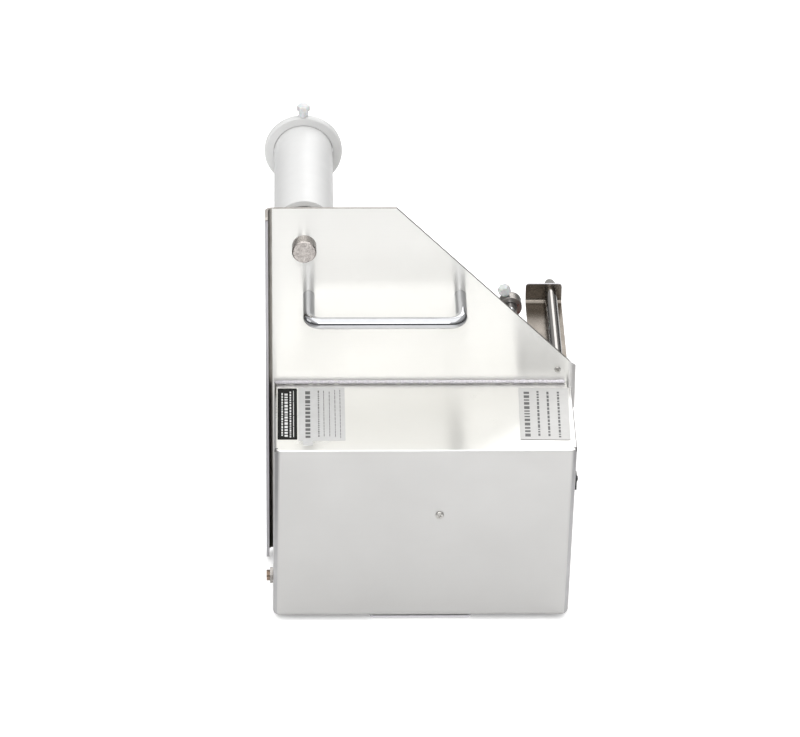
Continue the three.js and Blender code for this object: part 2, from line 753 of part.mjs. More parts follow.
function trayProfile() {
  const face = SHEET + GAP;
  const under = TRAY_TOP - TRAY_SHEET;
  const shape = new THREE.Shape();
  shape.moveTo(face, TRAY_TOP - 26);
  shape.lineTo(face + TRAY_SHEET, TRAY_TOP - 26);
  shape.lineTo(face + TRAY_SHEET, under);
  const outside = TAB_FOLD + TRAY_SHEET;
  const foldY = TRAY_END - TAB_FOLD;
  shape.absarc(foldY, under + outside, outside, 1.5 * Math.PI, 2 * Math.PI);
  shape.lineTo(foldY + outside, TAB_TOP);
  shape.lineTo(TRAY_END, TAB_TOP);
  shape.absarc(foldY, TRAY_TOP + TAB_FOLD, TAB_FOLD, 2 * Math.PI, 1.5 * Math.PI, true);
  shape.lineTo(face, TRAY_TOP);
  return shape;
}

function stripTray() {
  const bent = prismYZ(trayProfile(), TRAY_X, 5);
  const front = roundedRectangle(TRAY_X, [TRAY_TOP - 30, TAB_TOP], 4);
  const shaped = bent.intersect(prismXZ(front, [0, TRAY_END + 10], 4));
  return cut(shaped, rodY(ROD_AXIS, 3.3, [TRAY_END - 1, TRAY_END + 4], 16));
}

function buildStrip() {
  piece("strip_tray", stripTray(), satinSteel);
  const rod = [
    [0, SHEET + GAP],
    [ROD_RADIUS, SHEET + GAP],
    [ROD_RADIUS, TRAY_END - GAP],
    [3, TRAY_END - GAP],
    [3, 172],
    [0, 172],
  ];
  const thread = rodY(ROD_AXIS, 2.1, [0, 16], 12);
  piece("strip_rod", cut(turnedY(ROD_AXIS, rod), thread), chrome);
  const seat = TRAY_END + TRAY_SHEET + GAP;
  const nut = [
    [3.3, seat],
    [6.2, seat],
    [6.2, 177],
    [5.4, 180],
    [3, 182.4],
    [0, 183],
    [0, 172.4],
    [3.3, 172.4],
    [3.3, seat],
  ];
  piece("rod_nut", turnedY(ROD_AXIS, nut, 20), zinc);
}

// ---------------------------------------------------------------- sensor under the tray

function buildSensor() {
  const [x, z] = SENSOR_AXIS;
  piece("sensor_rail", rodY(SENSOR_AXIS, SENSOR_RAIL, [SHEET + GAP, 140], 16), chrome);
  const holder = prismXZ(roundedRectangle([x - 6, x + 7], around(z, 8), 2), SENSOR_Y, 3);
  const middle = (SENSOR_Y[0] + SENSOR_Y[1]) / 2;
  const eye = rodAlong(new THREE.Vector3(x + 3, middle, z + 7), Z_AXIS, 2.5, [0, 4], 12);
  const bore = rodY(SENSOR_AXIS, SENSOR_RAIL + RUNNING, around(middle, 20), 16);
  piece("label_sensor", cut(join(holder, eye), bore), blackPlastic);
}

// ---------------------------------------------------------------- pinch roller

function pinchAxis() {
  const reach = DRIVE_RADIUS + PINCH_RADIUS + NIP;
  const angle = rad(PINCH_ANGLE);
  return [DRIVE_AXIS[0] + reach * Math.cos(angle), DRIVE_AXIS[1] + reach * Math.sin(angle)];
}

// The outline of one cheek: a strap round the pivot and the roller's axle.
function strap([ax, az], [bx, bz], ra, rb) {
  const length = Math.hypot(bx - ax, bz - az);
  const heading = Math.atan2(bz - az, bx - ax);
  const open = Math.acos((ra - rb) / length);
  const shape = new THREE.Shape();
  shape.absarc(ax, az, ra, heading + open, heading - open + 2 * Math.PI);
  shape.absarc(bx, bz, rb, heading - open, heading + open);
  return shape;
}

function pinchArm() {
  const axle = pinchAxis();
  const cheek = (range) => prismXZ(strap(PINCH_PIVOT, axle, 9, 6), range, 6);
  const [px, pz] = PINCH_PIVOT;
  const bridge = block([px + 3, px + 8.5], [7, 170], around(pz, 5));
  const arm = join(...CHEEK_Y.map(cheek), bridge);
  const pivot = rodY(PINCH_PIVOT, PINCH_PIVOT_RADIUS + RUNNING, [0, 180], 20);
  return cut(arm, pivot, rodY(axle, PINCH_AXLE + RUNNING, [0, 180], 16));
}

function torsionSpring() {
  const steps = 10; // in each turn
  const { turns, radius, pitch, wire, start } = SPRING;
  const [px, pz] = PINCH_PIVOT;
  const coil = Array.from({ length: turns * steps + 1 }, (_, i) => {
    const angle = (2 * Math.PI * i) / steps;
    const y = start + (pitch * i) / steps;
    return new THREE.Vector3(px + radius * Math.cos(angle), y, pz + radius * Math.sin(angle));
  });
  return bar(coil, wire, 5, Y_AXIS);
}

function buildPinch() {
  const axle = pinchAxis();
  const bore = PINCH_AXLE + RUNNING;
  piece("pinch_arm", pinchArm(), satinSteel);
  piece("pinch_axle", rodY(axle, PINCH_AXLE, [4, 174], 16), zinc);
  piece("pinch_roller", ringY(axle, PINCH_RADIUS, bore, ROLLER_Y, 24), rubber);
  const pivot = [
    [0, SHEET + GAP],
    [PINCH_PIVOT_RADIUS, SHEET + GAP],
    [PINCH_PIVOT_RADIUS, 187],
    [8, 187],
    [8, 190],
    [0, 190],
  ];
  piece("pinch_pivot", turnedY(PINCH_PIVOT, pivot, 20), zinc);
  piece("pinch_spring", torsionSpring(), zinc);
}

// ---------------------------------------------------------------- drive roller and liner rewind

function pulley(axis, radius) {
  const [y0, y1] = PULLEY_Y;
  const lip = 2;
  const bore = SHAFT_RADIUS + GAP;
  const profile = [
    [bore, y0],
    [radius + lip, y0],
    [radius + lip, y0 + 1.5],
    [radius, y0 + 1.5],
    [radius, y1 - 1.5],
    [radius + lip, y1 - 1.5],
    [radius + lip, y1],
    [bore, y1],
    [bore, y0],
  ];
  return turnedY(axis, profile, 20);
}

function buildDrive() {
  const bore = SHAFT_RADIUS + RUNNING;
  piece("drive_bush", flangedBush(DRIVE_AXIS, bore, 14), brass);
  piece("drive_shaft", rodY(DRIVE_AXIS, SHAFT_RADIUS, [SHAFT_REAR, 172], 20), zinc);
  piece("drive_pulley", pulley(DRIVE_AXIS, DRIVE_PULLEY), aluminium);
  const sleeve = ringY(DRIVE_AXIS, DRIVE_RADIUS, SHAFT_RADIUS + GAP, ROLLER_Y, 32);
  piece("drive_roller", sleeve, redRubber);
}

// The hub has a groove on its top and bottom for the clip that holds the end of the liner.
function rewindHub() {
  const [x, z] = REWIND_AXIS;
  const hub = ringY(REWIND_AXIS, REWIND_HUB, SHAFT_RADIUS + GAP, REWIND_HUB_Y, 28);
  const grooves = [CLIP.half, -CLIP.half].map((dz) => block(around(x, 3), [18, 170], around(z + dz, 3)));
  return cut(hub, ...grooves);
}

function rewindClip() {
  const [x, z] = REWIND_AXIS;
  const { wire, half, bend, start, end } = CLIP;
  const at = (cz, angle) =>
    new THREE.Vector3(x, end - bend + bend * Math.sin(angle), cz + bend * Math.cos(angle));
  const path = [
    new THREE.Vector3(x, start, z + half),
    ...arcPoints(5, 0, Math.PI / 2, (angle) => at(z + half - bend, angle)),
    ...arcPoints(5, Math.PI / 2, Math.PI, (angle) => at(z - half + bend, angle)),
    new THREE.Vector3(x, start, z - half),
  ];
  return bar(path, wire, 10, X_AXIS);
}

function buildRewind() {
  const bore = SHAFT_RADIUS + RUNNING;
  piece("rewind_bush", flangedBush(REWIND_AXIS, bore, 14), brass);
  piece("rewind_shaft", rodY(REWIND_AXIS, SHAFT_RADIUS, [SHAFT_REAR, 167], 20), zinc);
  piece("rewind_pulley", pulley(REWIND_AXIS, REWIND_PULLEY), aluminium);
  const disc = ringY(REWIND_AXIS, REWIND_DISC, SHAFT_RADIUS + GAP, REWIND_DISC_Y, 40);
  piece("rewind_disc", disc, satinSteel);
  piece("rewind_hub", rewindHub(), aluminium);
  piece("rewind_clip", rewindClip(), chrome);
}

// The belt's loop outside the three pulleys, as a convex outline 'out' away from their rims.
function beltOutline(out) {
  const wheels = [
    [MOTOR_AXIS, MOTOR_PULLEY + out],
    [DRIVE_AXIS, DRIVE_PULLEY + out],
    [REWIND_AXIS, REWIND_PULLEY + out],
  ];
  // The direction, from each wheel's centre, of the point where the belt leaves it for the next one
  const leave = wheels.map(([[x0, z0], r0], i) => {
    const [[x1, z1], r1] = wheels[(i + 1) % wheels.length];
    const heading = Math.atan2(z1 - z0, x1 - x0);
    return heading - Math.acos((r0 - r1) / Math.hypot(x1 - x0, z1 - z0));
  });
  const shape = new THREE.Shape();
  wheels.forEach(([[x, z], r], i) => {
    const from = leave[(i + wheels.length - 1) % wheels.length];
    const wrap = (((leave[i] - from) % (2 * Math.PI)) + 2 * Math.PI) % (2 * Math.PI);
    shape.absarc(x, z, r, from, from + wrap);
  });
  return shape;
}

function buildBeltDrive() {
  const wide = [PULLEY_Y[0] + 2.5, PULLEY_Y[1] - 2.5];
  const outside = prismXZ(beltOutline(GAP + BELT_THICK), wide, 6);
  const inside = prismXZ(beltOutline(GAP), [wide[0] - 1, wide[1] + 1], 6);
  piece("drive_belt", cut(outside, inside), rubber);

  const [x, z] = MOTOR_AXIS;
  const { face: plane, thick, half, post } = MOTOR_PLATE;
  const plate = block(around(x, half), [plane - thick, plane], around(z, half));
  const posts = around(x, post).flatMap((px) =>
    around(z, post).map((pz) => rodY([px, pz], 4, [plane - 1, -GAP], 12)),
  );
  const opening = rodY(MOTOR_AXIS, MOTOR_PULLEY, around(plane, 8), 20);
  piece("motor_bracket", cut(join(plate, ...posts), opening), satinSteel);

  const face = plane - thick - GAP;
  const end = face - MOTOR_LENGTH;
  const body = [
    [0, end],
    [12, end],
    [14, end + 4],
    [26, end + 4],
    [26, face - 30],
    [30, face - 30],
    [30, face],
    [SHAFT_RADIUS + RUNNING, face],
    [SHAFT_RADIUS + RUNNING, face - 14],
    [0, face - 14],
  ];
  piece("gear_motor", turnedY(MOTOR_AXIS, body, 20), zinc);
  piece("motor_shaft", rodY(MOTOR_AXIS, SHAFT_RADIUS, [face - 12, PULLEY_Y[1] + 1], 20), zinc);
  piece("motor_pulley", pulley(MOTOR_AXIS, MOTOR_PULLEY), aluminium);
}

// ---------------------------------------------------------------- electrics

function controlBoard() {
  const { x: [x0, x1], y, z: [z0, z1], thick } = BOARD;
  const margin = 5;
  const board = block([x0, x1], [y - thick, y], [z0, z1]);
  const posts = [x0 + margin, x1 - margin].flatMap((x) =>
    [z0 + margin, z1 - margin].map((z) => rodY([x, z], 3, [y - 1, -GAP], 10)),
  );
  const transformer = block([28, 62], [y - 28, y - 1], [32, 62]);
  const relay = block([70, 88], [y - 17, y - 1], [52, 68]);
  const terminal = block([68, 104], [y - 11, y - 1], [28, 38]);
  const capacitor = rodY([98, 58], 6, [y - 22, y - 1], 16);
  return join(board, ...posts, transformer, relay, terminal, capacitor);
}

function powerJack() {
  const inward = [
    [0, -14],
    [8.5, -14],
    [8.5, -BOX_WALL - GAP],
    [JACK.thread, -BOX_WALL - GAP],
    [JACK.thread, 6.9],
    [JACK.socket, 6.9],
    [JACK.socket, -6],
    [JACK.pin, -6],
    [JACK.pin, 4.5],
    [0, 5.2],
  ];
  return turnedAlong(jackPoint(), X_AXIS.clone().negate(), inward, 20);
}

function jackNut() {
  const outward = X_AXIS.clone().negate();
  const hex = rodAlong(jackPoint(), outward, 9, [GAP, 3.3], 6);
  return cut(hex, rodAlong(jackPoint(), outward, JACK.hole, [0, 4], 20));
}

function switchBody() {
  const wall = switchFace();
  const rim = roundedRectangle(...switchArea(SWITCH.bezel), 1.5);
  const bezel = prismYZ(rim, [wall + 0.5, wall + 2.5], 3);
  const barrel = block([wall - 17, wall + 1], ...switchArea(SWITCH.window, GAP));
  const well = block([wall - 6, wall + 4], ...switchArea(SWITCH.window, 1.3));
  return cut(join(bezel, barrel), well);
}

// The rocker turns on a pivot across the switch. At rest its lower half is pressed in.
function switchRocker() {
  const { y, z } = SWITCH;
  const half = ROCKER.halfHeight;
  const side = outline([
    [-2.2, -half + 2],
    [4.2, -half],
    [5.2, -half + 0.5],
    [4.5, 0],
    [5.2, half - 0.5],
    [4.2, half],
    [-2.2, half - 2],
  ]);
  const rocker = prismXZ(side, [-ROCKER.halfWidth, ROCKER.halfWidth]);
  return rocker.rotate([0, ROCKER.tilt, 0]).translate([switchFace() - ROCKER.pivotDepth, y, z]);
}

function buildElectrics() {
  piece("control_board", controlBoard(), boardGreen);
  piece("power_jack", powerJack(), brass);
  piece("jack_nut", jackNut(), zinc);
  piece("switch_body", switchBody(), blackPlastic);
  piece("switch_rocker", switchRocker(), blackPlastic);
}

// ---------------------------------------------------------------- the whole machine

buildStructure();
buildFoot();
buildStickers();
buildHandle();
buildSupply();
buildGuides();
buildStrip();
buildSensor();
buildPinch();
buildDrive();
buildRewind();
buildBeltDrive();
buildElectrics();

const extent = new THREE.Box3().setFromObject(machine);
const middle = extent.getCenter(new THREE.Vector3());
machine.position.set(-middle.x, -middle.y, -extent.min.z);

export default machine;
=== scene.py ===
# The looks of a bench-top label dispenser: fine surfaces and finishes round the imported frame.
# Lengths are in millimetres until a mesh is made, and axes are the frame's own.
import json
import math
import random

import bmesh
import bpy
from mathutils import Matrix, Vector
from mathutils.geometry import delaunay_2d_cdt


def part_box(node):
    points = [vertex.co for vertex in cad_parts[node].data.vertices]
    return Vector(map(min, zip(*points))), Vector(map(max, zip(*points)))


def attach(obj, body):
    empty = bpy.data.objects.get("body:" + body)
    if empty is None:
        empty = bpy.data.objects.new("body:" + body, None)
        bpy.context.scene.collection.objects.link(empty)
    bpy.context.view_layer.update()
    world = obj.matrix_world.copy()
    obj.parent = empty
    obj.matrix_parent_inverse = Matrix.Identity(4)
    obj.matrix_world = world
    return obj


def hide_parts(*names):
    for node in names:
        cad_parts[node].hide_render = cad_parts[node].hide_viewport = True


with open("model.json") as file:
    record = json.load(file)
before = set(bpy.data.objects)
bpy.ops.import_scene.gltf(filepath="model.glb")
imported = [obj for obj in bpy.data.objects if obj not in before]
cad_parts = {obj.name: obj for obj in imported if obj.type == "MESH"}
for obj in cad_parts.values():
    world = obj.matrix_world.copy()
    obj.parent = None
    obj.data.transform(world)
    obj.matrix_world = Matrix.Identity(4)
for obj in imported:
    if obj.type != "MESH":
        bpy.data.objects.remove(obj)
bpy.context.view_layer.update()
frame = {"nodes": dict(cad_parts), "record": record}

MM = 0.001
SEGMENTS = 96
ALONG_X = Vector((1, 0, 0))
ALONG_Y = Vector((0, 1, 0))
ALONG_Z = Vector((0, 0, 1))

record = frame["record"]
BODY_OF = {node: body for body, nodes in record["behaviour"]["bodies"].items() for node in nodes}
scene = bpy.context.scene
luck = random.Random(7)


# ---- camera and light

CAMERA_PLACE = (-0.13545, -4.43798, 2.80190)  # in metres, like every place in this section
CAMERA_ANGLES = (1.49, -30.40, 0.60)  # heading, pitch and roll in degrees
LENS = 225
SENSOR = 36
LIT_POINT = (0, 0, 0.2)
LIGHTS = {
    # place, size and power
    "top_light": ((0, -0.4, 2.6), (4.0, 4.0), 56),
    "camera_side_light": ((-0.6, -3.2, 2.6), (2.2, 1.6), 34),
    "rear_light": ((0.8, 2.6, 2.2), (2.0, 1.4), 19),
    "left_light": ((-2.8, -0.2, 1.0), (1.6, 1.2), 6),
}
SKY = [(0.0, 0.10), (0.08, 0.14), (0.28, 0.66), (0.5, 0.95), (0.7, 1.15)]  # sine of the elevation, brightness
SKY_STRENGTH = 0.74
FLOOR_HALF = 12


def build_camera():
    heading, pitch, roll = (math.radians(angle) for angle in CAMERA_ANGLES)
    ahead = Vector((
        math.sin(heading) * math.cos(pitch),
        math.cos(heading) * math.cos(pitch),
        math.sin(pitch),
    ))
    level = Vector((math.cos(heading), -math.sin(heading), 0))
    square = level.cross(ahead)
    right = math.cos(roll) * level + math.sin(roll) * square
    up = -math.sin(roll) * level + math.cos(roll) * square
    data = bpy.data.cameras.new("camera")
    data.lens = LENS
    data.sensor_width = SENSOR
    data.clip_end = 50
    camera = bpy.data.objects.new("camera", data)
    turn = Matrix((right, up, -ahead)).transposed().to_4x4()
    camera.matrix_world = Matrix.Translation(CAMERA_PLACE) @ turn
    scene.collection.objects.link(camera)
    scene.camera = camera


def soft_light(name, place, size, power):
    data = bpy.data.lights.new(name, "AREA")
    data.shape = "RECTANGLE"
    data.size, data.size_y = size
    data.energy = power
    light = bpy.data.objects.new(name, data)
    light.location = place
    light.rotation_euler = (Vector(LIT_POINT) - Vector(place)).to_track_quat("-Z", "Y").to_euler()
    scene.collection.objects.link(light)


def flat_card(name, material, x_range, y_range, height):
    """A level card or floor that belongs to the studio, not to the part."""
    (x0, x1), (y0, y1) = x_range, y_range
    data = bpy.data.meshes.new(name)
    corners = [(x0, y0, height), (x1, y0, height), (x1, y1, height), (x0, y1, height)]
    data.from_pydata(corners, [], [(0, 1, 2, 3)])
    data.materials.append(MATERIALS[material])
    card = bpy.data.objects.new(name, data)
    scene.collection.objects.link(card)
    return card


def build_sky():
    """A world that is dark at the horizon and bright above."""
    world = bpy.data.worlds.new("studio")
    world.use_nodes = True
    nodes, links = world.node_tree.nodes, world.node_tree.links
    background = nodes["Background"]
    background.inputs["Strength"].default_value = SKY_STRENGTH
    direction = nodes.new("ShaderNodeTexCoord")
    height = nodes.new("ShaderNodeSeparateXYZ")
    ramp = nodes.new("ShaderNodeValToRGB")
    first, last = ramp.color_ramp.elements
    first.position, last.position = SKY[0][0], SKY[-1][0]
    for place, _ in SKY[1:-1]:
        ramp.color_ramp.elements.new(place)
    for i, (_, value) in enumerate(SKY):
        ramp.color_ramp.elements[i].color = (value, value, value, 1)
    links.new(direction.outputs["Generated"], height.inputs[0])
    links.new(height.outputs["Z"], ramp.inputs["Fac"])
    links.new(ramp.outputs["Color"], background.inputs["Color"])
    scene.world = world


def build_studio():
    build_sky()
    for name, settings in LIGHTS.items():
        soft_light(name, *settings)
    half = (-FLOOR_HALF, FLOOR_HALF)
    flat_card("floor", "floor", half, half, 0)
    build_flags()
    scene.view_settings.view_transform = "Standard"


def build_flags():
    """Cards on the floor that only reflections see: dark far out, grey and pale near the machine."""
    lit_x, lit_y, out, height = 0.9, 1.5, 8, 0.004
    left, right, near = -0.31, 0.42, -0.42
    cards = [
        ("flag_front", "flag", (-out, out), (-out, -lit_y)),
        ("flag_rear", "flag", (-out, out), (lit_y, out)),
        ("flag_left", "flag", (-out, -lit_x), (-lit_y, lit_y)),
        ("flag_right", "flag", (lit_x, out), (-lit_y, lit_y)),
        ("pale_middle", "pale_flag", (left, right), (near, lit_y)),
        ("bright_front", "bright_flag", (left, right), (-lit_y, near)),
        ("grey_left", "grey_flag", (-lit_x, left), (-lit_y, lit_y)),
        ("grey_right", "grey_flag", (right, lit_x), (-lit_y, lit_y)),
    ]
    for name, material, x_range, y_range in cards:
        card = flat_card(name, material, x_range, y_range, height)
        card.visible_camera = card.visible_diffuse = card.visible_shadow = card.visible_transmission = False


# ---- materials

LINE_DEPTH = 0.000005
BRUSHED = (14, 1400, 1400)
RINGS = (0.4, 9000, 0)


def grey(value):
    return (value, value, value)


def add_node(tree, kind, linked, **values):
    """A shader node with some inputs linked and others set. A name's underscores stand for spaces."""
    node = tree.nodes.new("ShaderNode" + kind)
    for name, value in values.items():
        node.inputs[name.replace("_", " ")].default_value = value
    for name, source in linked.items():
        tree.links.new(source, node.inputs[name])
    return node


def noise(tree, vector, scale, detail, rough=0.55):
    node = add_node(tree, "TexNoise", {"Vector": vector}, Scale=scale, Detail=detail, Roughness=rough)
    return node.outputs["Fac"]


def spread(tree, value, low, high):
    """The noise's middle half, spread from low to high."""
    limits = {"From_Min": 0.25, "From_Max": 0.75, "To_Min": low, "To_Max": high}
    return add_node(tree, "MapRange", {"Value": value}, **limits).outputs["Result"]


def mixed(tree, factor, first, second):
    node = tree.nodes.new("ShaderNodeMix")
    node.data_type = "RGBA"
    colours = [s for s in node.inputs if s.type == "RGBA"]
    for socket, value in zip(colours, (first, second)):
        if isinstance(value, tuple):
            socket.default_value = (*value, 1)
        else:
            tree.links.new(value, socket)
    tree.links.new(factor, node.inputs[0])
    return next(s for s in node.outputs if s.type == "RGBA")


def shader(name, colour, metallic, rough, tint=None, grain=None, mottle=60, pits=None, turned=False,
           brushed=False, **fixed):
    """A finish with its own grain, mottling and fine bumps.

    rough is (lowest, highest). tint is the colour of the patches. grain is the scale of the fine lines along
    each axis: they are bumps, except on a brushed finish, where an anisotropic shine takes their place. pits
    is (scale, depth in metres) of small bumps. turned lays the lines along a turned piece's profile."""
    material = bpy.data.materials.new(name)
    material.use_nodes = True
    tree = material.node_tree
    surface = tree.nodes["Principled BSDF"]
    surface.inputs["Metallic"].default_value = metallic
    for socket, value in fixed.items():
        surface.inputs[socket.replace("_", " ")].default_value = value
    where = tree.nodes.new("ShaderNodeTexCoord")
    solid_place = where.outputs["Object"]
    place = where.outputs["UV"] if turned else solid_place
    patches = noise(tree, solid_place, mottle, 4)
    tint = tint or tuple(0.86 * c for c in colour)
    shade = mixed(tree, spread(tree, patches, 0, 1), tuple(tint), tuple(colour))
    roughness = spread(tree, patches, rough[1], rough[0])
    height = None
    if grain:
        stretched = add_node(tree, "Mapping", {"Vector": place}, Scale=grain).outputs["Vector"]
        lines = noise(tree, stretched, 1.0, 2, 0.6)
        shade = mixed(tree, spread(tree, lines, 0, 0.5), shade, tuple(tint))
        together = tree.nodes.new("ShaderNodeMath")
        together.operation = "MULTIPLY_ADD"
        tree.links.new(lines, together.inputs[0])
        together.inputs[1].default_value = 0.5 * (rough[1] - rough[0])
        tree.links.new(roughness, together.inputs[2])
        roughness = together.outputs[0]
        height = None if brushed else (lines, LINE_DEPTH)
    if pits:
        height = (noise(tree, solid_place, pits[0], 2), pits[1])
    tree.links.new(shade, surface.inputs["Base Color"])
    tree.links.new(roughness, surface.inputs["Roughness"])
    if brushed:
        tangent = tree.nodes.new("ShaderNodeTangent")
        tangent.direction_type = "UV_MAP"
        tangent.uv_map = "grain"
        tree.links.new(tangent.outputs["Tangent"], surface.inputs["Tangent"])
    if height:
        bump = add_node(tree, "Bump", {"Height": height[0]}, Strength=1.0, Distance=height[1])
        tree.links.new(bump.outputs["Normal"], surface.inputs["Normal"])
    return material


def build_materials():
    made = {}

    def add(name, *args, **kwargs):
        made[name] = shader(name, *args, **kwargs)

    def add_brushed(name, colour, rough, tint, mottle, anisotropic):
        add(name, colour, 1, rough, tint, BRUSHED, mottle, brushed=True, Anisotropic=anisotropic)

    matt = (0.8, 0.9)
    add("floor", grey(0.93), 0, (0.7, 0.8), grey(0.92), mottle=2, Emission_Strength=0.3)
    add("flag", grey(0.03), 0, matt, mottle=2)
    add("grey_flag", grey(0.36), 0, matt, grey(0.34), mottle=2)
    add("pale_flag", grey(0.83), 0, matt, grey(0.81), mottle=2)
    add("bright_flag", grey(0.98), 0, matt, grey(0.96), mottle=2, Emission_Strength=0.12)

    add_brushed("polished_steel", (0.835, 0.83, 0.808), (0.36, 0.39), (0.805, 0.80, 0.775), 9, 0.95)
    add_brushed("satin_steel", (0.61, 0.605, 0.595), (0.38, 0.44), (0.59, 0.585, 0.575), 14, 0.4)
    # painted light: the drive box's top is a lighter copy of the same sheet's steel, for the light from above
    add_brushed("top_steel_painted_light", (0.765, 0.76, 0.74), (0.26, 0.29), (0.745, 0.74, 0.715), 12, 0.8)
    # bent steel: pitted orange peel on the bends, and a darker colour on the nose that is painted shade
    add("bent_steel_and_painted_shade", (0.74, 0.735, 0.72), 1, (0.34, 0.44), (0.68, 0.67, 0.655), pits=(500, 0.00006))
    # painted shade: the drive box's rounded side bends are a darker copy of its steel
    add("box_bend_painted_shade", (0.51, 0.505, 0.51), 1, (0.34, 0.44), (0.46, 0.455, 0.46))
    # painted shade: the rear flange's inner face and its bend are coloured dark for the shade in that inside
    # corner
    add("inner_bend_painted_shade", (0.36, 0.345, 0.32), 1, (0.3, 0.42), (0.28, 0.265, 0.245))
    # painted shade: the strip tray's steel is coloured very dark for the shade behind the main sheet
    add("tray_steel_painted_shade", (0.205, 0.182, 0.158), 1, (0.2, 0.32), (0.165, 0.147, 0.127))
    add("cut_edge", (0.50, 0.495, 0.515), 1, (0.35, 0.5), (0.56, 0.55, 0.575), (700, 700, 700), 300)
    add("sheared_edge", (0.40, 0.375, 0.35), 1, (0.35, 0.5), (0.32, 0.30, 0.28), mottle=300)
    add("chrome_bar", (0.50, 0.505, 0.52), 1, (0.03, 0.07), (0.46, 0.465, 0.48), mottle=90)
    # painted shade: the strip rod's polished steel is coloured darker for the shade on the label side
    add("rod_steel_painted_shade", (0.36, 0.345, 0.33), 1, (0.04, 0.09), (0.33, 0.315, 0.30), mottle=90)
    add("turned_steel", (0.70, 0.69, 0.67), 1, (0.16, 0.26), grain=RINGS, turned=True)
    add("zinc_steel", (0.60, 0.59, 0.57), 1, (0.28, 0.44), (0.48, 0.47, 0.44), mottle=220)
    add("collar_metal", (0.44, 0.42, 0.40), 1, (0.16, 0.34), (0.30, 0.28, 0.265), RINGS, 160, turned=True)
    add("knob_metal", (0.53, 0.495, 0.47), 1, (0.16, 0.36), (0.33, 0.305, 0.29), None, 420, (650, 0.0003))
    add("plug_brass", (0.52, 0.40, 0.32), 1, (0.12, 0.26), (0.36, 0.27, 0.21), mottle=400)
    add("bare_aluminium", grey(0.78), 1, (0.25, 0.38), grain=RINGS, turned=True)
    add("brass", (0.72, 0.56, 0.30), 1, (0.2, 0.34), (0.55, 0.45, 0.28), RINGS, turned=True)

    add("white_plastic", (0.62, 0.62, 0.615), 0, (0.3, 0.42), (0.60, 0.60, 0.595), pits=(900, 0.00002))
    add(
        "nylon", (0.78, 0.80, 0.80), 0, (0.25, 0.4), (0.70, 0.72, 0.72), pits=(1500, 0.00003),
        Transmission_Weight=0.25, Subsurface_Weight=0.2, Subsurface_Scale=0.004,
    )
    add("black_plastic", (0.022, 0.022, 0.023), 0, (0.32, 0.46), pits=(2600, 0.00004))
    add("black_rubber", grey(0.028), 0, (0.62, 0.78), mottle=300, pits=(1800, 0.00006))
    red = (0.33, 0.075, 0.05)
    add("red_rubber", red, 0, (0.55, 0.7), (0.27, 0.06, 0.04), mottle=260, pits=(2400, 0.00005))
    add("board", (0.04, 0.19, 0.08), 0, (0.3, 0.45), mottle=150, pits=(900, 0.00003))
    add("bead", (0.82, 0.80, 0.84), 0, (0.3, 0.5), (0.54, 0.52, 0.56), mottle=620, pits=(800, 0.0005))

    film = (0.4, 0.5)
    add("white_film", (0.53, 0.525, 0.515), 0, film, (0.50, 0.495, 0.485), mottle=120, Specular_IOR_Level=0.3)
    add("silver_film", grey(0.60), 0.35, (0.3, 0.4), grey(0.56), mottle=160)
    add("black_film", grey(0.007), 0, film, mottle=90, Specular_IOR_Level=0.1)
    add("ink", grey(0.10), 0, film, mottle=500)
    add("pale_ink", grey(0.72), 0, film, mottle=500)
    return made


# ---- mesh making

NEARLY_STRAIGHT = 165


def box(node):
    low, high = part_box(node)
    return low / MM, high / MM


def middle(node):
    low, high = box(node)
    return (low + high) / 2


def girth(node):
    """The radius of a piece that is round about Y, and the y of its near and far ends."""
    low, high = box(node)
    return (high.x - low.x) / 2, low.y, high.y


def axis_of(node):
    """The point at y = 0 on the line along Y through the node's middle."""
    centre = middle(node)
    return Vector((centre.x, 0, centre.z))


def rounded(points, radius, closed=False, steps=3):
    """The same line of points, with each real corner turned into a small arc."""
    result = []
    for i, point in enumerate(points):
        corner = Vector(point)
        if not closed and i in (0, len(points) - 1):
            result.append(corner)
            continue
        before = Vector(points[i - 1]) - corner
        after = Vector(points[(i + 1) % len(points)]) - corner
        angle = before.angle(after)
        if angle > math.radians(NEARLY_STRAIGHT):
            result.append(corner)
            continue
        room = 0.42 * min(before.length, after.length)
        reach = min(radius / math.tan(angle / 2), room)
        start = corner + before.normalized() * reach
        end = corner + after.normalized() * reach
        for k in range(steps + 1):
            t = k / steps
            result.append(start * (1 - t) ** 2 + corner * (2 * t * (1 - t)) + end * t ** 2)
    return result


def arc(centre, radius, start, end, count):
    """Points on a circle, from one angle in degrees to another."""
    angles = [math.radians(start + (end - start) * i / (count - 1)) for i in range(count)]
    return [(centre[0] + radius * math.cos(a), centre[1] + radius * math.sin(a)) for a in angles]


def bridge(mesh, first, second):
    count = max(len(first), len(second))
    for i in range(count if count > 1 else 0):
        j = (i + 1) % count
        a, b = first[i % len(first)], first[j % len(first)]
        c, d = second[j % len(second)], second[i % len(second)]
        mesh.faces.new(list(dict.fromkeys((a, b, c, d))))


def close(mesh, loops):
    """Walls from loop to loop, and a cap on each end."""
    for first, second in zip(loops, loops[1:]):
        bridge(mesh, first, second)
    mesh.faces.new(loops[0])
    mesh.faces.new(loops[-1])


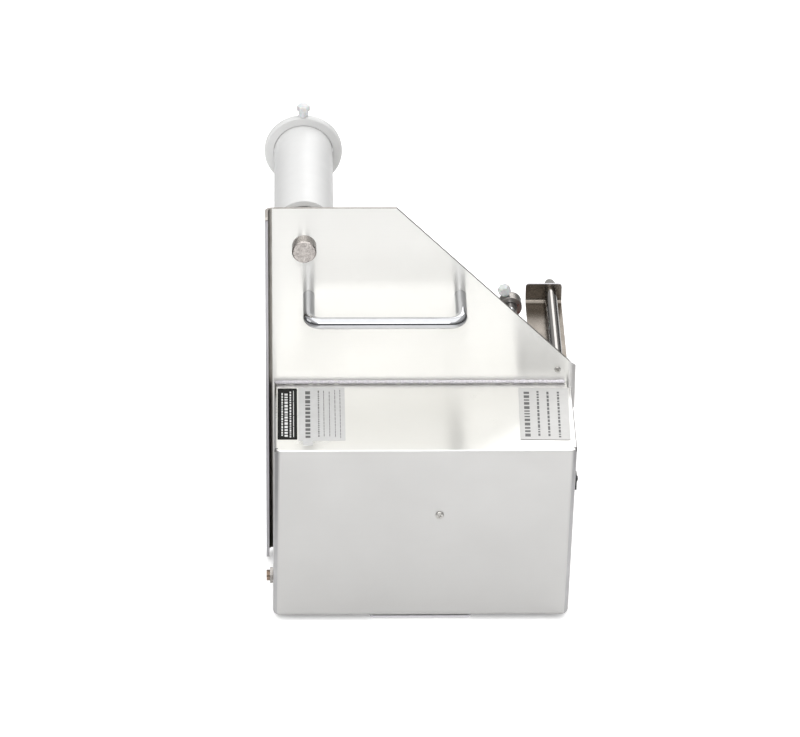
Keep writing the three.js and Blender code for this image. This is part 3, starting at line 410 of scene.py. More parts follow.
def turned(origin, direction, profile, soft=0.3, ring=False, shape=None, segments=SEGMENTS):
    """A body turned round a line. Its profile is a list of (radius, distance), closed on itself for a ring.

    shape(angle, radius, distance) may change the radius, for a head that isn't round."""
    mesh = bmesh.new()
    w = Vector(direction).normalized()
    side = ALONG_Z if abs(w.z) < 0.9 else ALONG_X
    u = (side - w * side.dot(w)).normalized()
    v = w.cross(u)
    line = rounded(profile, soft, closed=ring)
    travelled = 0
    loops = []
    heights = {}
    for i, (radius, distance) in enumerate(line):
        if i:
            travelled += (line[i] - line[i - 1]).length
        if radius < 1e-4:
            loop = [mesh.verts.new(origin + w * distance)]
        else:
            loop = []
            for k in range(segments):
                angle = math.tau * k / segments
                reach = shape(angle, radius, distance) if shape else radius
                outward = u * math.cos(angle) + v * math.sin(angle)
                loop.append(mesh.verts.new(origin + w * distance + reach * outward))
        heights.update({vertex: travelled for vertex in loop})
        loops.append(loop)
    for first, second in zip(loops, loops[1:] + (loops[:1] if ring else [])):
        bridge(mesh, first, second)
    layer = mesh.loops.layers.uv.new("turned")
    for face in mesh.faces:
        for corner in face.loops:
            corner[layer].uv = (0.5, heights[corner.vert] * MM)
    return mesh


def plug(origin, direction, radius, start, end, segments=SEGMENTS):
    """A plain cylinder that cuts a round hole."""
    profile = [(0, start), (radius, start), (radius, end), (0, end)]
    return turned(origin, direction, profile, 0, segments=segments)


def ring_profile(inner, outer, near, far):
    return [(outer, near), (outer, far), (inner, far), (inner, near)]


def hexagonal(angle, radius, corner):
    """That radius, held inside a hexagon whose corners lie that far out."""
    side = (angle % (math.pi / 3)) - math.pi / 6
    return min(radius, corner * math.cos(math.pi / 6) / math.cos(side))


def swept(path, radius, sides=32, soft=0.4):
    """A round bar along a path, with eased ends."""
    mesh = bmesh.new()
    points = [Vector(p) for p in path]
    last = len(points) - 1
    tangents = [(points[min(i + 1, last)] - points[max(i - 1, 0)]).normalized() for i in range(last + 1)]
    side = tangents[0].orthogonal().normalized()
    rings = []
    for point, along in zip(points, tangents):
        side = (side - along * side.dot(along)).normalized()
        rings.append((point, side.copy(), along.cross(side)))
    stations = [(rings[0], radius - soft, 0), (rings[0], radius, soft)]
    stations += [(ring, radius, 0) for ring in rings[1:-1]]
    stations += [(rings[-1], radius, -soft), (rings[-1], radius - soft, 0)]
    loops = []
    for (point, a, b), reach, shift in stations:
        along = a.cross(b)
        centre = point + along * shift
        angles = [math.tau * k / sides for k in range(sides)]
        loops.append([mesh.verts.new(centre + reach * (a * math.cos(t) + b * math.sin(t))) for t in angles])
    close(mesh, loops)
    return mesh


def encloses(loop, point):
    """Whether the point lies inside the loop, by counting the sides that it crosses."""
    inside = False
    for (x0, y0), (x1, y1) in zip(loop, loop[1:] + loop[:1]):
        if (y0 > point[1]) != (y1 > point[1]) and point[0] < x0 + (point[1] - y0) * (x1 - x0) / (y1 - y0):
            inside = not inside
    return inside


def circle(centre, radius, count=48):
    return arc(centre, radius, 0, 360 * (count - 1) / count, count)


def rounded_rectangle(low, high, radius, steps=6):
    (x0, y0), (x1, y1) = low, high
    corners = [(x1, y0), (x1, y1), (x0, y1), (x0, y0)]
    return [tuple(p) for p in rounded(corners, radius, closed=True, steps=steps)]


def bevel(mesh, edges, width, **more):
    bmesh.ops.bevel(
        mesh, geom=edges, offset=width, segments=2, profile=0.5, affect="EDGES", clamp_overlap=True, **more,
    )


def sheet(outline, holes, thickness, place, lines=(), marks=(), rim=0.25, bands=()):
    """Sheet material from its flat pattern. place(s, t) gives the middle surface's point and its normal.

    lines are the bend lines, and marks are loops printed on the face that the normal points out of. Cut edges
    take material 1 and marks material 2. Each band is a stretch of s with the materials of its front and its
    back, as (start, end, front, back)."""
    outline = [tuple(p) for p in outline]
    points, edges = [], []
    for loop in [outline, *holes, *marks]:
        first = len(points)
        points += [Vector(p) for p in loop]
        edges += [(first + i, first + (i + 1) % len(loop)) for i in range(len(loop))]
    for start, end in lines:
        edges.append((len(points), len(points) + 1))
        points += [Vector(start), Vector(end)]
    flat, _, faces, *_ = delaunay_2d_cdt(points, edges, [], 0, 1e-4)
    mesh = bmesh.new()
    fronts, backs = {}, {}
    used = {}
    for face in faces:
        centre = tuple(sum((flat[i] for i in face), Vector((0, 0))) / 3)
        if not encloses(outline, centre) or any(encloses(hole, centre) for hole in holes):
            continue
        for i in face:
            if i not in fronts:
                point, normal = place(*flat[i])
                fronts[i] = mesh.verts.new(point + normal * thickness / 2)
                backs[i] = mesh.verts.new(point - normal * thickness / 2)
        front = mesh.faces.new([fronts[i] for i in face])
        front.material_index = 2 if any(encloses(mark, centre) for mark in marks) else 0
        back = mesh.faces.new([backs[i] for i in reversed(face)])
        for start, end, front_material, back_material in bands:
            if start < centre[0] < end:
                front.material_index, back.material_index = front_material, back_material
        for a, b in zip(face, face[1:] + face[:1]):
            used[(a, b)] = used.get((a, b), 0) + 1
    border = []
    for a, b in used:
        if (b, a) not in used:
            side = mesh.faces.new([fronts[b], fronts[a], backs[a], backs[b]])
            side.material_index = 1
            border += [e for e in side.edges if any(f.material_index != 1 for f in e.link_faces)]
    if rim:
        bevel(mesh, border, rim, material=1)
    return mesh


def bent_path(start, ahead, normal, across, runs):
    """A bent sheet's middle surface: straight runs and quarter bends in turn, a bend given by its radius.

    A radius is negative where the sheet bends away from its normal. It returns place(s, t), which gives the
    point and the normal there, and the s at which each run ends."""
    stretches, ends = [], []
    point, travelled = start, 0
    for i, run in enumerate(runs):
        is_bend = i % 2
        stretches.append((travelled, point, ahead, normal, run if is_bend else 0))
        if is_bend:
            point = point + run * normal + abs(run) * ahead
            way = math.copysign(1, run)
            ahead, normal = way * normal, -way * ahead
            travelled += abs(run) * math.pi / 2
        else:
            point = point + run * ahead
            travelled += run
        ends.append(travelled)

    def place(s, t):
        begun = [stretch for stretch in stretches if stretch[0] < s] or stretches[:1]
        first, origin, along, out, radius = begun[-1]
        origin = origin + t * across
        if not radius:
            return origin + (s - first) * along, out.copy()
        angle = (s - first) / radius
        leaning = math.cos(angle) * out - math.sin(angle) * along
        return origin + radius * (out - leaning), leaning

    return place, ends


def bend_lines(ends, steps, low, high):
    """Lines across the flat pattern, which split each of its bends into that many facets."""
    places = []
    for i, count in enumerate(steps):
        start, end = ends[2 * i:2 * i + 2]
        places += [start + (end - start) * k / count for k in range(count + 1)]
    return [((s, low), (s, high)) for s in places]


def eased(mesh, width, angle=40):
    """The mesh with its sharp edges rounded a little."""
    bmesh.ops.remove_doubles(mesh, verts=mesh.verts, dist=0.01)
    bmesh.ops.dissolve_limit(mesh, angle_limit=math.radians(1), verts=mesh.verts, edges=mesh.edges)
    sharp = [e for e in mesh.edges if len(e.link_faces) == 2 and e.calc_face_angle() > math.radians(angle)]
    bevel(mesh, sharp, width)
    return mesh


def from_frame(node):
    """The CAD node's own mesh, as a start for a finer one."""
    mesh = bmesh.new()
    mesh.from_mesh(frame["nodes"][node].data)
    bmesh.ops.scale(mesh, vec=(1 / MM,) * 3, verts=mesh.verts)
    for layer in list(mesh.loops.layers.uv):
        mesh.loops.layers.uv.remove(layer)
    return mesh


def brick(low, high):
    mesh = bmesh.new()
    size = Vector(high) - Vector(low)
    bmesh.ops.create_cube(mesh, size=1)
    bmesh.ops.scale(mesh, vec=size, verts=mesh.verts)
    bmesh.ops.translate(mesh, vec=(Vector(high) + Vector(low)) / 2, verts=mesh.verts)
    return mesh


def hold(mesh):
    """A mesh object for a mesh in millimetres, not yet one of the pieces."""
    bmesh.ops.recalc_face_normals(mesh, faces=mesh.faces)
    data = bpy.data.meshes.new("mesh")
    mesh.to_mesh(data)
    mesh.free()
    thing = bpy.data.objects.new("mesh", data)
    scene.collection.objects.link(thing)
    return thing


def combined(mesh, tools, operation="DIFFERENCE"):
    body = hold(mesh)
    others = [hold(tool) for tool in tools]
    for other in others:
        step = body.modifiers.new("step", "BOOLEAN")
        step.operation = operation
        step.solver = "EXACT"
        step.object = other
    result = bmesh.new()
    result.from_mesh(body.evaluated_get(bpy.context.evaluated_depsgraph_get()).data)
    for thing in [body, *others]:
        data = thing.data
        bpy.data.objects.remove(thing)
        bpy.data.meshes.remove(data)
    return result


def lay_grain(data):
    """A UV map whose first axis runs across the brushing, which is level on every face."""
    layer = data.uv_layers.new(name="grain")
    for face in data.polygons:
        size = [abs(c) for c in face.normal]
        across = 1 if size[2] == max(size) else 2
        along = 1 if size[0] == max(size) else 0
        for i in face.loop_indices:
            spot = data.vertices[data.loops[i].vertex_index].co
            layer.data[i].uv = (spot[across], spot[along])


def make(node, mesh, *materials, sharp=35):
    """A finished piece that stands for that CAD node and rides on its body."""
    piece = hold(mesh)
    piece.name = piece.data.name = "fine_" + node
    piece.data.transform(Matrix.Scale(MM, 4))
    for material in materials:
        piece.data.materials.append(MATERIALS[material])
    lay_grain(piece.data)
    piece.data.shade_smooth()
    piece.data.set_sharp_from_angle(angle=math.radians(sharp))
    flat = piece.modifiers.new("flat faces stay flat", "WEIGHTED_NORMAL")
    flat.keep_sharp = True
    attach(piece, BODY_OF[node])
    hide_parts(node)
    return piece


def make_turned(node, profile, material, soft=0.3, ring=False, shape=None, cuts=()):
    """A piece turned round the line along Y through its node's middle. Distances are along the frame's Y."""
    mesh = turned(axis_of(node), ALONG_Y, profile, soft, ring, shape)
    if cuts:
        mesh = combined(mesh, cuts)
    return make(node, mesh, material)


# ---- main sheet and drive box

SHEET = 3.0
FLANGE_BEND = 5.5  # bend radii of sheets are taken at the middle of the sheet
NOSE_BEND = 6.5
CORNER_PAST_HUB = 43  # where the sheet's top edge starts to slope
NOSE_OVER_SHAFT = 21
LOWER_FRONT = 147
BOLT_HOLE = 2.8
BUSH_BODY = 10
BOX_EDGE = 6.5  # bend radius round the drive box's near face
BOX_TOP_EDGE = 2
BOX_WALL = 1.5
JACK_HOLE = 6.1


def main_plate_path():
    """The main sheet in plan, from the rear flange's free edge to the nose's, and the s of x = 0."""
    low, high = box("main_plate")
    mid_y = box("carry_handle")[1].y + 0.3 + SHEET / 2
    flange_x, nose_x = low.x + SHEET / 2, high.x - SHEET / 2
    straight = nose_x - NOSE_BEND - (flange_x + FLANGE_BEND)
    runs = [mid_y - FLANGE_BEND - low.y, FLANGE_BEND, straight, -NOSE_BEND, high.y - (mid_y + NOSE_BEND)]
    place, ends = bent_path(Vector((flange_x, low.y, 0)), ALONG_Y, ALONG_X, ALONG_Z, runs)
    return place, ends, ends[1] - flange_x - FLANGE_BEND


def build_main_plate():
    place, ends, to_s = main_plate_path()
    first_bend_end, nose, end = ends[1], ends[2], ends[4]
    low, high = box("main_plate")
    corner = middle("rewind_hub").x + CORNER_PAST_HUB + to_s
    end_top = high.z - (end - corner)  # the top edge falls one for one from its corner
    nose_foot = middle("drive_shaft").z + NOSE_OVER_SHAFT
    front = LOWER_FRONT + to_s
    outline = [
        *arc((4, high.z - 4), 4, 180, 90, 8),
        (corner, high.z),
        (end - 1, end_top + 1),
        (end, end_top),
        (end, nose_foot + 2),
        (end - 2, nose_foot),
        (nose, nose_foot),
        (front, nose_foot - 4),
        (front, low.z + 2),
        (front - 2, low.z),
        (1.5, low.z),
        (0, low.z + 1.5),
    ]
    bolted = ("handle_bolt_rear", "handle_bolt_front", "rod_screw")
    bushed = ("supply_bush", "drive_bush", "rewind_bush")
    holes = []
    for nodes, radius, count in ((bolted, BOLT_HOLE, 24), (bushed, BUSH_BODY + 0.3, 48)):
        for spot in map(middle, nodes):
            holes.append(circle((spot.x + to_s, spot.z), radius, count))
    lines = bend_lines(ends, (12, 14), low.z - 10, high.z + 10)
    # the nose band takes bent steel, darkened in part as painted shade; the rear flange's inner face and bend
    # take a dark colour that is painted shade
    bands = [(nose, end, 2, 2), (0, first_bend_end, 3, 0)]
    mesh = sheet(outline, holes, SHEET, place, lines, rim=0.22, bands=bands)
    mesh.normal_update()
    for face in mesh.faces:
        if face.material_index == 1 and abs(face.normal.z) > 0.3:
            face.material_index = 4
    finishes = ("polished_steel", "cut_edge", "bent_steel_and_painted_shade", "inner_bend_painted_shade", "sheared_edge")
    make("main_plate", mesh, *finishes, sharp=40)


def box_ring(low, high, inset, top_inset):
    """The drive box's outline in x and z: end walls that lean, round bottom corners and eased top corners."""
    lean_front, lean_rear = 4.5, 2.2
    rear_top, rear = low.x + lean_rear + inset, low.x + inset
    front_top, front = high.x - inset, high.x - lean_front - inset
    bottom, top = low.z + inset, high.z - top_inset
    corner = max(BOX_EDGE - inset, 0.6)
    ease_rear, ease_front = max(2.4 - inset, 0.4), max(1.6 - inset, 0.4)
    return [
        *arc((front_top - ease_front, top - ease_front), ease_front, 0, 90, 6),
        *arc((rear_top + ease_rear, top - ease_rear), ease_rear, 90, 180, 7),
        *arc((rear + corner, bottom + corner), corner, 180, 270, 10),
        *arc((front - corner, bottom + corner), corner, 270, 360, 10),
    ]


def box_shell(wall):
    """The drive box as a solid, drawn in by a wall: 0 gives its outside, and the wall gives its cavity."""
    low, high = box("drive_box_cover")
    mesh = bmesh.new()
    near = low.y + wall

    def round_in(radius, depth):
        return radius - math.sqrt(max(radius ** 2 - (radius - min(depth, radius)) ** 2, 0))

    loops = []
    depths = [BOX_EDGE * (1 - math.cos(math.radians(90 * i / 12))) for i in range(1, 13)]
    for depth in [0.02, *depths]:
        ring = box_ring(low, high, wall + round_in(BOX_EDGE, depth), wall + round_in(BOX_TOP_EDGE, depth))
        loops.append([mesh.verts.new((x, near + depth, z)) for x, z in ring])
    back = high.y + (2 if wall else 0)
    loops.append([mesh.verts.new((x, back, z)) for x, z in box_ring(low, high, wall, wall)])
    close(mesh, loops)
    return mesh


def build_drive_box():
    low, high = box("drive_box_cover")
    screw, jack, window = middle("cover_screw"), middle("jack_nut"), middle("switch_body")
    cuts = [box_shell(BOX_WALL), plug(Vector((screw.x, low.y, screw.z)), ALONG_Y, 2.3, -1, 4, 32)]
    for x in (low.x + 3.8, high.x - 1.6):  # round reliefs at the top's near corners
        cuts.append(plug(Vector((x, low.y + 4.6, high.z)), ALONG_Z, 1.8, -5, 1, 24))
    cuts += [
        brick((high.x - 4.5, high.y - 10.85, high.z - 9), (high.x + 1, high.y + 1, high.z + 1)),
        plug(Vector((low.x, jack.y, jack.z)), ALONG_X, JACK_HOLE, -6, 8, 40),
        brick((high.x - 12, window.y - 4.9, window.z - 7.4), (high.x + 2, window.y + 4.9, window.z + 7.4)),
    ]
    mesh = combined(box_shell(0), cuts)
    mesh.normal_update()
    for face in mesh.faces:
        # faces that look up take the lighter copy of the steel, which is painted light
        if face.normal.z > 0.9:
            face.material_index = 1
        # rounded side bends that face the near side take the darker copy of the steel, which is painted shade
        elif abs(face.normal.x) > 0.35 and face.normal.y < -0.1:
            face.material_index = 2
    make("drive_box_cover", mesh, "satin_steel", "top_steel_painted_light", "box_bend_painted_shade", sharp=40)


def build_seam():
    """A hand-laid bead of sealant: its size and place wander along the seam."""
    low, high = box("seam_seal")
    mesh = bmesh.new()
    radius = (high.z - low.z) / 2
    centre = Vector((0, high.y - radius, low.z + radius))
    steps, sides = 520, 16
    waves = [
        (luck.uniform(0.02, 1.2), luck.uniform(0, math.tau), luck.uniform(0.02, 0.07)) for _ in range(14)
    ]
    loops = []
    for i in range(steps + 1):
        x = low.x + 0.2 + (high.x - low.x - 0.4) * i / steps
        wander = sum(a * math.sin(f * x + p) for f, p, a in waves)
        end = min(1, 0.3 + 0.5 * min(i, steps - i))
        reach = radius * (0.74 + 0.9 * max(-0.3, min(wander, 0.28))) * end
        loop = []
        for k in range(sides):
            angle = math.tau * k / sides
            lump = 1 + 0.05 * math.sin(3 * angle + 0.21 * x) + 0.03 * math.sin(1.7 * x + 2 * angle)
            loop.append(mesh.verts.new((
                x,
                centre.y + min(reach * lump * math.cos(angle), radius - 0.02),
                centre.z + max(reach * lump * math.sin(angle), -radius + 0.02),
            )))
        loops.append(loop)
    close(mesh, loops)
    make("seam_seal", mesh, "bead", sharp=60)


def build_pan_screw(node, head_height):
    """A pan head with a cross recess, on a plain shank."""
    r, near, far = girth(node)
    centre, axis = middle(node), axis_of(node)
    shank, seat = 0.48 * r, near + head_height
    angles = [math.radians(a) for a in range(0, 90, 9)]
    dome = [(r * math.sin(a), seat - head_height * math.cos(a) ** 0.6) for a in angles]
    profile = [*dome, (r, seat - 0.15 * head_height), (r, seat), (shank, seat), (shank, far), (0, far)]
    cuts = []
    for a, b in ((0.52 * r, 0.11 * r), (0.11 * r, 0.52 * r)):
        floor = near + 0.55 * head_height
        cuts.append(brick((centre.x - a, near - 1, centre.z - b), (centre.x + a, floor, centre.z + b)))
    cuts.append(turned(axis, ALONG_Y, [(0, near - 1), (0.3 * r, near - 1), (0, near + 0.8 * head_height)], 0))
    mesh = combined(turned(axis, ALONG_Y, profile, 0.15), cuts)
    bmesh.ops.rotate(mesh, verts=mesh.verts, cent=centre, matrix=Matrix.Rotation(math.radians(24), 3, "Y"))
    make(node, mesh, "zinc_steel")


# ---- foot, stickers and handle

def level_place(z):
    return lambda s, t: (Vector((s, t, z)), ALONG_Z.copy())


def build_foot():
    low, high = box("foot_plate")
    outline = rounded_rectangle((low.x, low.y), (high.x, high.y), 6)
    mesh = sheet(outline, [], high.z - low.z, level_place((low.z + high.z) / 2), rim=0.3)
    make("foot_plate", mesh, "satin_steel", "cut_edge")
    for number in range(1, 5):
        node = f"foot_pad_{number}"
        r = girth(node)[0]
        top = box(node)[1].z
        spot = middle(node)
        profile = [(0, 0), (r - 0.6, 0), (r, 0.4), (r, top), (0, top)]
        make(node, turned(Vector((spot.x, spot.y, 0)), ALONG_Z, profile, 0.2), "black_rubber")

    low, high = box("foot_bracket")
    wall, bend = 3.0, 3.0
    mid_y = low.y + wall / 2
    runs = [high.z - low.z - wall / 2 - bend, bend, high.y - (mid_y + bend)]
    place, ends = bent_path(Vector((0, mid_y, high.z)), -ALONG_Z, ALONG_Y, ALONG_X, runs)
    outline = rounded_rectangle((0, low.x), (ends[-1], high.x), 3)
    mesh = sheet(outline, [], wall, place, bend_lines(ends, (8,), low.x - 5, high.x + 5), rim=0.3)
    make("foot_bracket", mesh, "satin_steel", "cut_edge")


def printed_rows(low, high, rows):
    """Plain dashes in rows along Y, as (share across, thickness, longest dash)."""
    marks = []
    for share, thick, longest in rows:
        x = low[0] + share * (high[0] - low[0])
        y = low[1] + 4 + luck.uniform(0, 4)
        end = high[1] - 4 - luck.uniform(0, 5)
        while y < end - 2:
            dash = min(luck.uniform(0.35, 1) * longest, end - y)
            if dash > 0.8:
                marks.append([(x, y), (x + thick, y), (x + thick, y + dash), (x, y + dash)])
            y += dash + 1.1 + 0.3 * thick
    return marks


def build_stickers():
    specs = {
        "sticker_black": (
            "black_film", "pale_ink", [(0.20, 1.5, 5), (0.36, 3.2, 5), (0.62, 1.5, 5), (0.80, 0.7, 40)],
        ),
        "sticker_silver": (
            "silver_film", "ink",
            [(0.15, 5.0, 7), (0.42, 1.4, 5), (0.54, 0.7, 9), (0.66, 0.7, 7), (0.78, 0.7, 8), (0.89, 0.7, 7)],
        ),
        "sticker_white": (
            "white_film", "ink", [(0.10, 5.5, 6), (0.36, 2.2, 7), (0.56, 2.2, 8), (0.77, 2.2, 7)],
        ),
    }
    for node, (film, ink, rows) in specs.items():
        low, high = box(node)
        turn = math.radians(-1.2) if node == "sticker_white" else 0
        tab = node == "sticker_silver"
        wide = (high.x - low.x) - abs(math.tan(turn)) * (high.y - low.y)
        centre = middle(node)
        tall = (high.y - low.y) / 2 - abs(math.tan(turn)) * wide / 2
        a, b = (-wide / 2, -tall + (9.6 if tab else 0)), (wide / 2, tall)
        outline = rounded_rectangle(a, b, 1.2)
        if tab:
            x0, x1 = a[0] + 4.7, a[0] + 14.5
            corners = [(b[0], a[1]), (b[0], b[1]), (a[0], b[1]), (a[0], a[1])]
            corners += [(x0, a[1]), (x0, -tall), (x1, -tall), (x1, a[1])]
            outline = [tuple(p) for p in rounded(corners, 1.2, closed=True, steps=5)]
        z = (low.z + high.z) / 2

        def place(s, t, centre=centre, turn=turn, z=z):
            x = centre.x + s * math.cos(turn) - t * math.sin(turn)
            y = centre.y + s * math.sin(turn) + t * math.cos(turn)
            return Vector((x, y, z)), ALONG_Z.copy()

        mesh = sheet(outline, [], high.z - low.z, place, marks=printed_rows(a, b, rows), rim=0)
        piece = make(node, mesh, film, film, ink)
        piece.visible_glossy = node == "sticker_white"


def build_handle():
    low, high = box("carry_handle")
    r = (high.z - low.z) / 2
    bend = 13
    x0, x1, y0, z = low.x + r, high.x - r, low.y + r, low.z + r
    rear = [(x, y, z) for x, y in arc((x0 + bend, y0 + bend), bend, 180, 270, 20)]
    front = [(x, y, z) for x, y in arc((x1 - bend, y0 + bend), bend, 270, 360, 20)]
    path = [(x0, high.y, z), (x0, high.y - 4, z), *rear, *front, (x1, high.y - 4, z), (x1, high.y, z)]
    make("carry_handle", swept(path, r, 64, 0.35), "chrome_bar")
    head, shank = 3.6, 2.4
    for node in ("handle_bolt_rear", "handle_bolt_front"):
        reach, near, far = girth(node)
        seat = far - head
        angles = [math.radians(a) for a in range(0, 91, 10)]
        dome = [(reach * math.cos(a), seat + head * (0.35 + 0.65 * math.sin(a))) for a in angles]
        profile = [(0, near), (2.0, near), (shank, near + 0.5), (shank, seat), (reach, seat), *dome]
        socket = plug(axis_of(node), ALONG_Y, 1.75, far - 2.2, far + 1, 6)
        make_turned(node, profile, "zinc_steel", 0.15, cuts=[socket])


# ---- supply spindle

SPINDLE_BORE = 6.65
THREAD_PITCH = 0.8


def thumb_screw(node, origin, direction, spec):
    """A moulded screw: a lobed head with a raised middle, a neck and a threaded shank."""
    lobes = 6

    def lobed(angle, radius, distance):
        if distance <= spec["neck_top"] + 0.2 or radius < 0.55 * spec["head"]:
            return radius
        return radius * (0.89 + 0.11 * math.cos(lobes * angle))

    head, top, neck_top = spec["head"], spec["top"], spec["neck_top"]
    profile = [(0, spec["tip"]), (spec["shank"] - 0.3, spec["tip"])]
    for i in range(int((spec["neck_foot"] - spec["tip"]) / THREAD_PITCH)):
        at = spec["tip"] + 0.3 + THREAD_PITCH * i
        profile += [(spec["shank"] - 0.35, at), (spec["shank"], at + THREAD_PITCH / 2)]
    profile += [
        (spec["neck"], spec["neck_foot"]),
        (spec["neck"], neck_top),
        (head - 0.3, neck_top + 0.3),
        (head, neck_top + 1.2),
        (head, top - 1.4),
        (head - 0.9, top - 0.4),
        (0.62 * head, top - 0.25),
        (0.55 * head, top),
        (0, top),
    ]
    mesh = turned(origin, direction, profile, 0.25, shape=lobed)
    make(node, mesh, "nylon")


def build_spindle():
    build_shaft("supply_spindle", 1, (1.6, 1.4))
    build_bush("supply_bush", 15, SPINDLE_BORE)

    r, near, far = girth("spindle_knob")
    profile = [
        (0, near), (r - 1.1, near), (r, near + 1.1), (r, far - 0.8), (r - 0.5, far),
        (SPINDLE_BORE, far), (SPINDLE_BORE, near + 2), (0, near + 2),
    ]
    make_turned("spindle_knob", profile, "knob_metal", 0.2).visible_glossy = False


def build_supply_tube():
    outer, near, far = girth("supply_tube")
    make_turned("supply_tube", ring_profile(outer - 6, outer, near, far), "white_plastic", 0.7, ring=True)
    hub, web, rim = SPINDLE_BORE + 5, 3, 4
    for node in ("tube_hub_inner", "tube_hub_outer"):
        r, near, far = girth(node)
        profile = [
            (r, near), (r, far), (r - rim, far), (r - rim, far - web), (hub, far - web), (hub, far),
            (SPINDLE_BORE, far), (SPINDLE_BORE, near), (hub, near), (hub, near + web),
            (r - rim, near + web), (r - rim, near),
        ]
        make_turned(node, profile, "white_plastic", 0.5, ring=True)


def build_roll_flange():
    disc, near, far = girth("roll_flange")
    inner = girth("supply_tube")[0] + 0.3
    axis = middle("supply_spindle")
    centre = Vector((axis.x, (near + far) / 2, axis.z))
    slope = 1.6
    profile = [
        (inner, near), (disc - slope, near), (disc, near + slope),
        (disc, far - slope), (disc - slope, far), (inner, far),
    ]
    hole = plug(centre, ALONG_Z, 3.3, 20, 45, 32)
    make_turned("roll_flange", profile, "white_plastic", 0.8, ring=True, cuts=[hole])
    spec = {"tip": 31, "shank": 3, "neck_foot": 40.7, "neck": 5, "neck_top": 46.3, "head": 7, "top": 53}
    thumb_screw("roll_flange_screw", centre, ALONG_Z, spec)


def build_bush(node, flange, bore):
    _, near, far = girth(node)
    seat = far - 3
    profile = [(BUSH_BODY, near), (BUSH_BODY, seat), (flange, seat), (flange, far), (bore, far), (bore, near)]
    make_turned(node, profile, "brass", 0.3, ring=True)


# ---- label path

def build_guides():
    rod = 6.35
    _, near, far = girth("guide_rod")
    profile = [
        (0, near), (11, near), (11, near + 3.5), (rod, near + 3.5),
        (rod, far - 1), (rod - 1, far), (1.4, far), (0, far - 1.2),
    ]
    make_turned("guide_rod", profile, "chrome_bar", 0.3)
    axis = middle("guide_rod")
    tilt = math.radians(20)
    towards = Vector((-math.sin(tilt), 0, math.cos(tilt)))
    for node in ("guide_collar_inner", "guide_collar_outer"):
        r, near, far = girth(node)
        centre = Vector((axis.x, (near + far) / 2, axis.z))
        hole = plug(centre, towards, 2.3, 4, 16, 32)
        profile = ring_profile(rod + 0.3, r, near, far)
        make_turned(node, profile, "collar_metal", 0.8, ring=True, cuts=[hole])
    spec = {"tip": 7, "shank": 2, "neck_foot": 12.6, "neck": 3.4, "neck_top": 14.6, "head": 6.6, "top": 23.8}
    thumb_screw("guide_collar_screw", centre, towards, spec)


def build_strip_tray():
    low, high = box("strip_tray")
    wall, corner, fold, round_end = 2.0, 2.5, 6.0, 4
    mid = low.z + 26 - wall / 2
    near_y, tab_y = low.y + wall / 2, high.y - wall / 2
    runs = [mid - corner - low.z, -corner, tab_y - fold - (near_y + corner), fold, high.z - (mid + fold)]
    place, ends = bent_path(Vector((0, near_y, low.z)), ALONG_Z, -ALONG_Y, ALONG_X, runs)
    end = ends[-1] - round_end
    outline = [
        (0, low.x), (end, low.x), *arc((end, low.x + round_end), round_end, -90, 0, 8),
        *arc((end, high.x - round_end), round_end, 0, 90, 8), (0, high.x),
    ]
    rod = middle("strip_rod")
    hole = circle((ends[3] + rod.z - (mid + fold), rod.x), 3.3, 32)
    mesh = sheet(outline, [hole], wall, place, bend_lines(ends, (6, 12), low.x - 5, high.x + 5), rim=0.25)
    # the tray's very dark colour is painted shade
    make("strip_tray", mesh, "tray_steel_painted_shade", "cut_edge", sharp=40)


def build_strip_rod():
    r, near, far = girth("strip_rod")
    shoulder = far - 12.3
    profile = [(0, near), (r, near), (r, shoulder), (3, shoulder), (3, far), (0, far)]
    # the rod's dark colour is painted shade
    make_turned("strip_rod", profile, "rod_steel_painted_shade", 0.4)

    r, near, far = girth("rod_nut")
    flat, bore = far - 6, 3.3

    def six_sided(angle, radius, distance):
        return radius if distance > flat or radius < 4 else hexagonal(angle, radius, r)

    angles = [math.radians(a) for a in range(0, 91, 9)]
    dome = [(0.86 * r * math.cos(a), flat + (far - flat) * math.sin(a)) for a in angles]
    foot = [(0, near + 9), (bore, near + 9), (bore, near), (r - 0.5, near), (r, near + 0.5)]
    make_turned("rod_nut", [*foot, (r, flat - 0.6), *dome], "zinc_steel", 0.2, shape=six_sided)


def build_sensor():
    r, near, far = girth("sensor_rail")
    profile = [(0, near), (r, near), (r, far - 0.5), (r - 0.5, far), (0, far)]
    make_turned("sensor_rail", profile, "chrome_bar", 0.1)
    make("label_sensor", eased(from_frame("label_sensor"), 0.4), "black_plastic")


def strap(a, b, ra, rb):
    """The outline of a cheek round two holes."""
    run = Vector(b) - Vector(a)
    heading = math.degrees(math.atan2(run.y, run.x))
    opening = math.degrees(math.acos((ra - rb) / run.length))
    round_a = arc(a, ra, heading + opening, heading - opening + 360, 40)
    return round_a + arc(b, rb, heading - opening, heading + opening, 28)


def upright_plate(outline, holes, y0, y1):
    def place(s, t):
        return Vector((s, (y0 + y1) / 2, t)), -ALONG_Y

    return sheet(outline, holes, y1 - y0, place, rim=0.3)


def build_pinch_arm():
    low, high = box("pinch_arm")
    pivot, axle = middle("pinch_pivot"), middle("pinch_axle")
    p, q = (pivot.x, pivot.z), (axle.x, axle.z)
    cheek, pivot_hole, axle_hole = 4, 4.3, 3.3
    outline = strap(p, q, 9, 6)
    holes = [circle(p, pivot_hole), circle(q, axle_hole)]
    near = upright_plate(outline, holes, low.y, low.y + cheek)
    far = upright_plate(outline, holes, high.y - cheek, high.y)
    bar = eased(brick((p[0] + 3.6, low.y + 1, p[1] - 5), (p[0] + 8.5, high.y - 1, p[1] + 5)), 0.5)
    bore = plug(Vector((p[0], 0, p[1])), ALONG_Y, pivot_hole, low.y - 5, high.y + 5)
    mesh = combined(combined(near, [far, bar], "UNION"), [bore])
    make("pinch_arm", mesh, "satin_steel", "cut_edge")


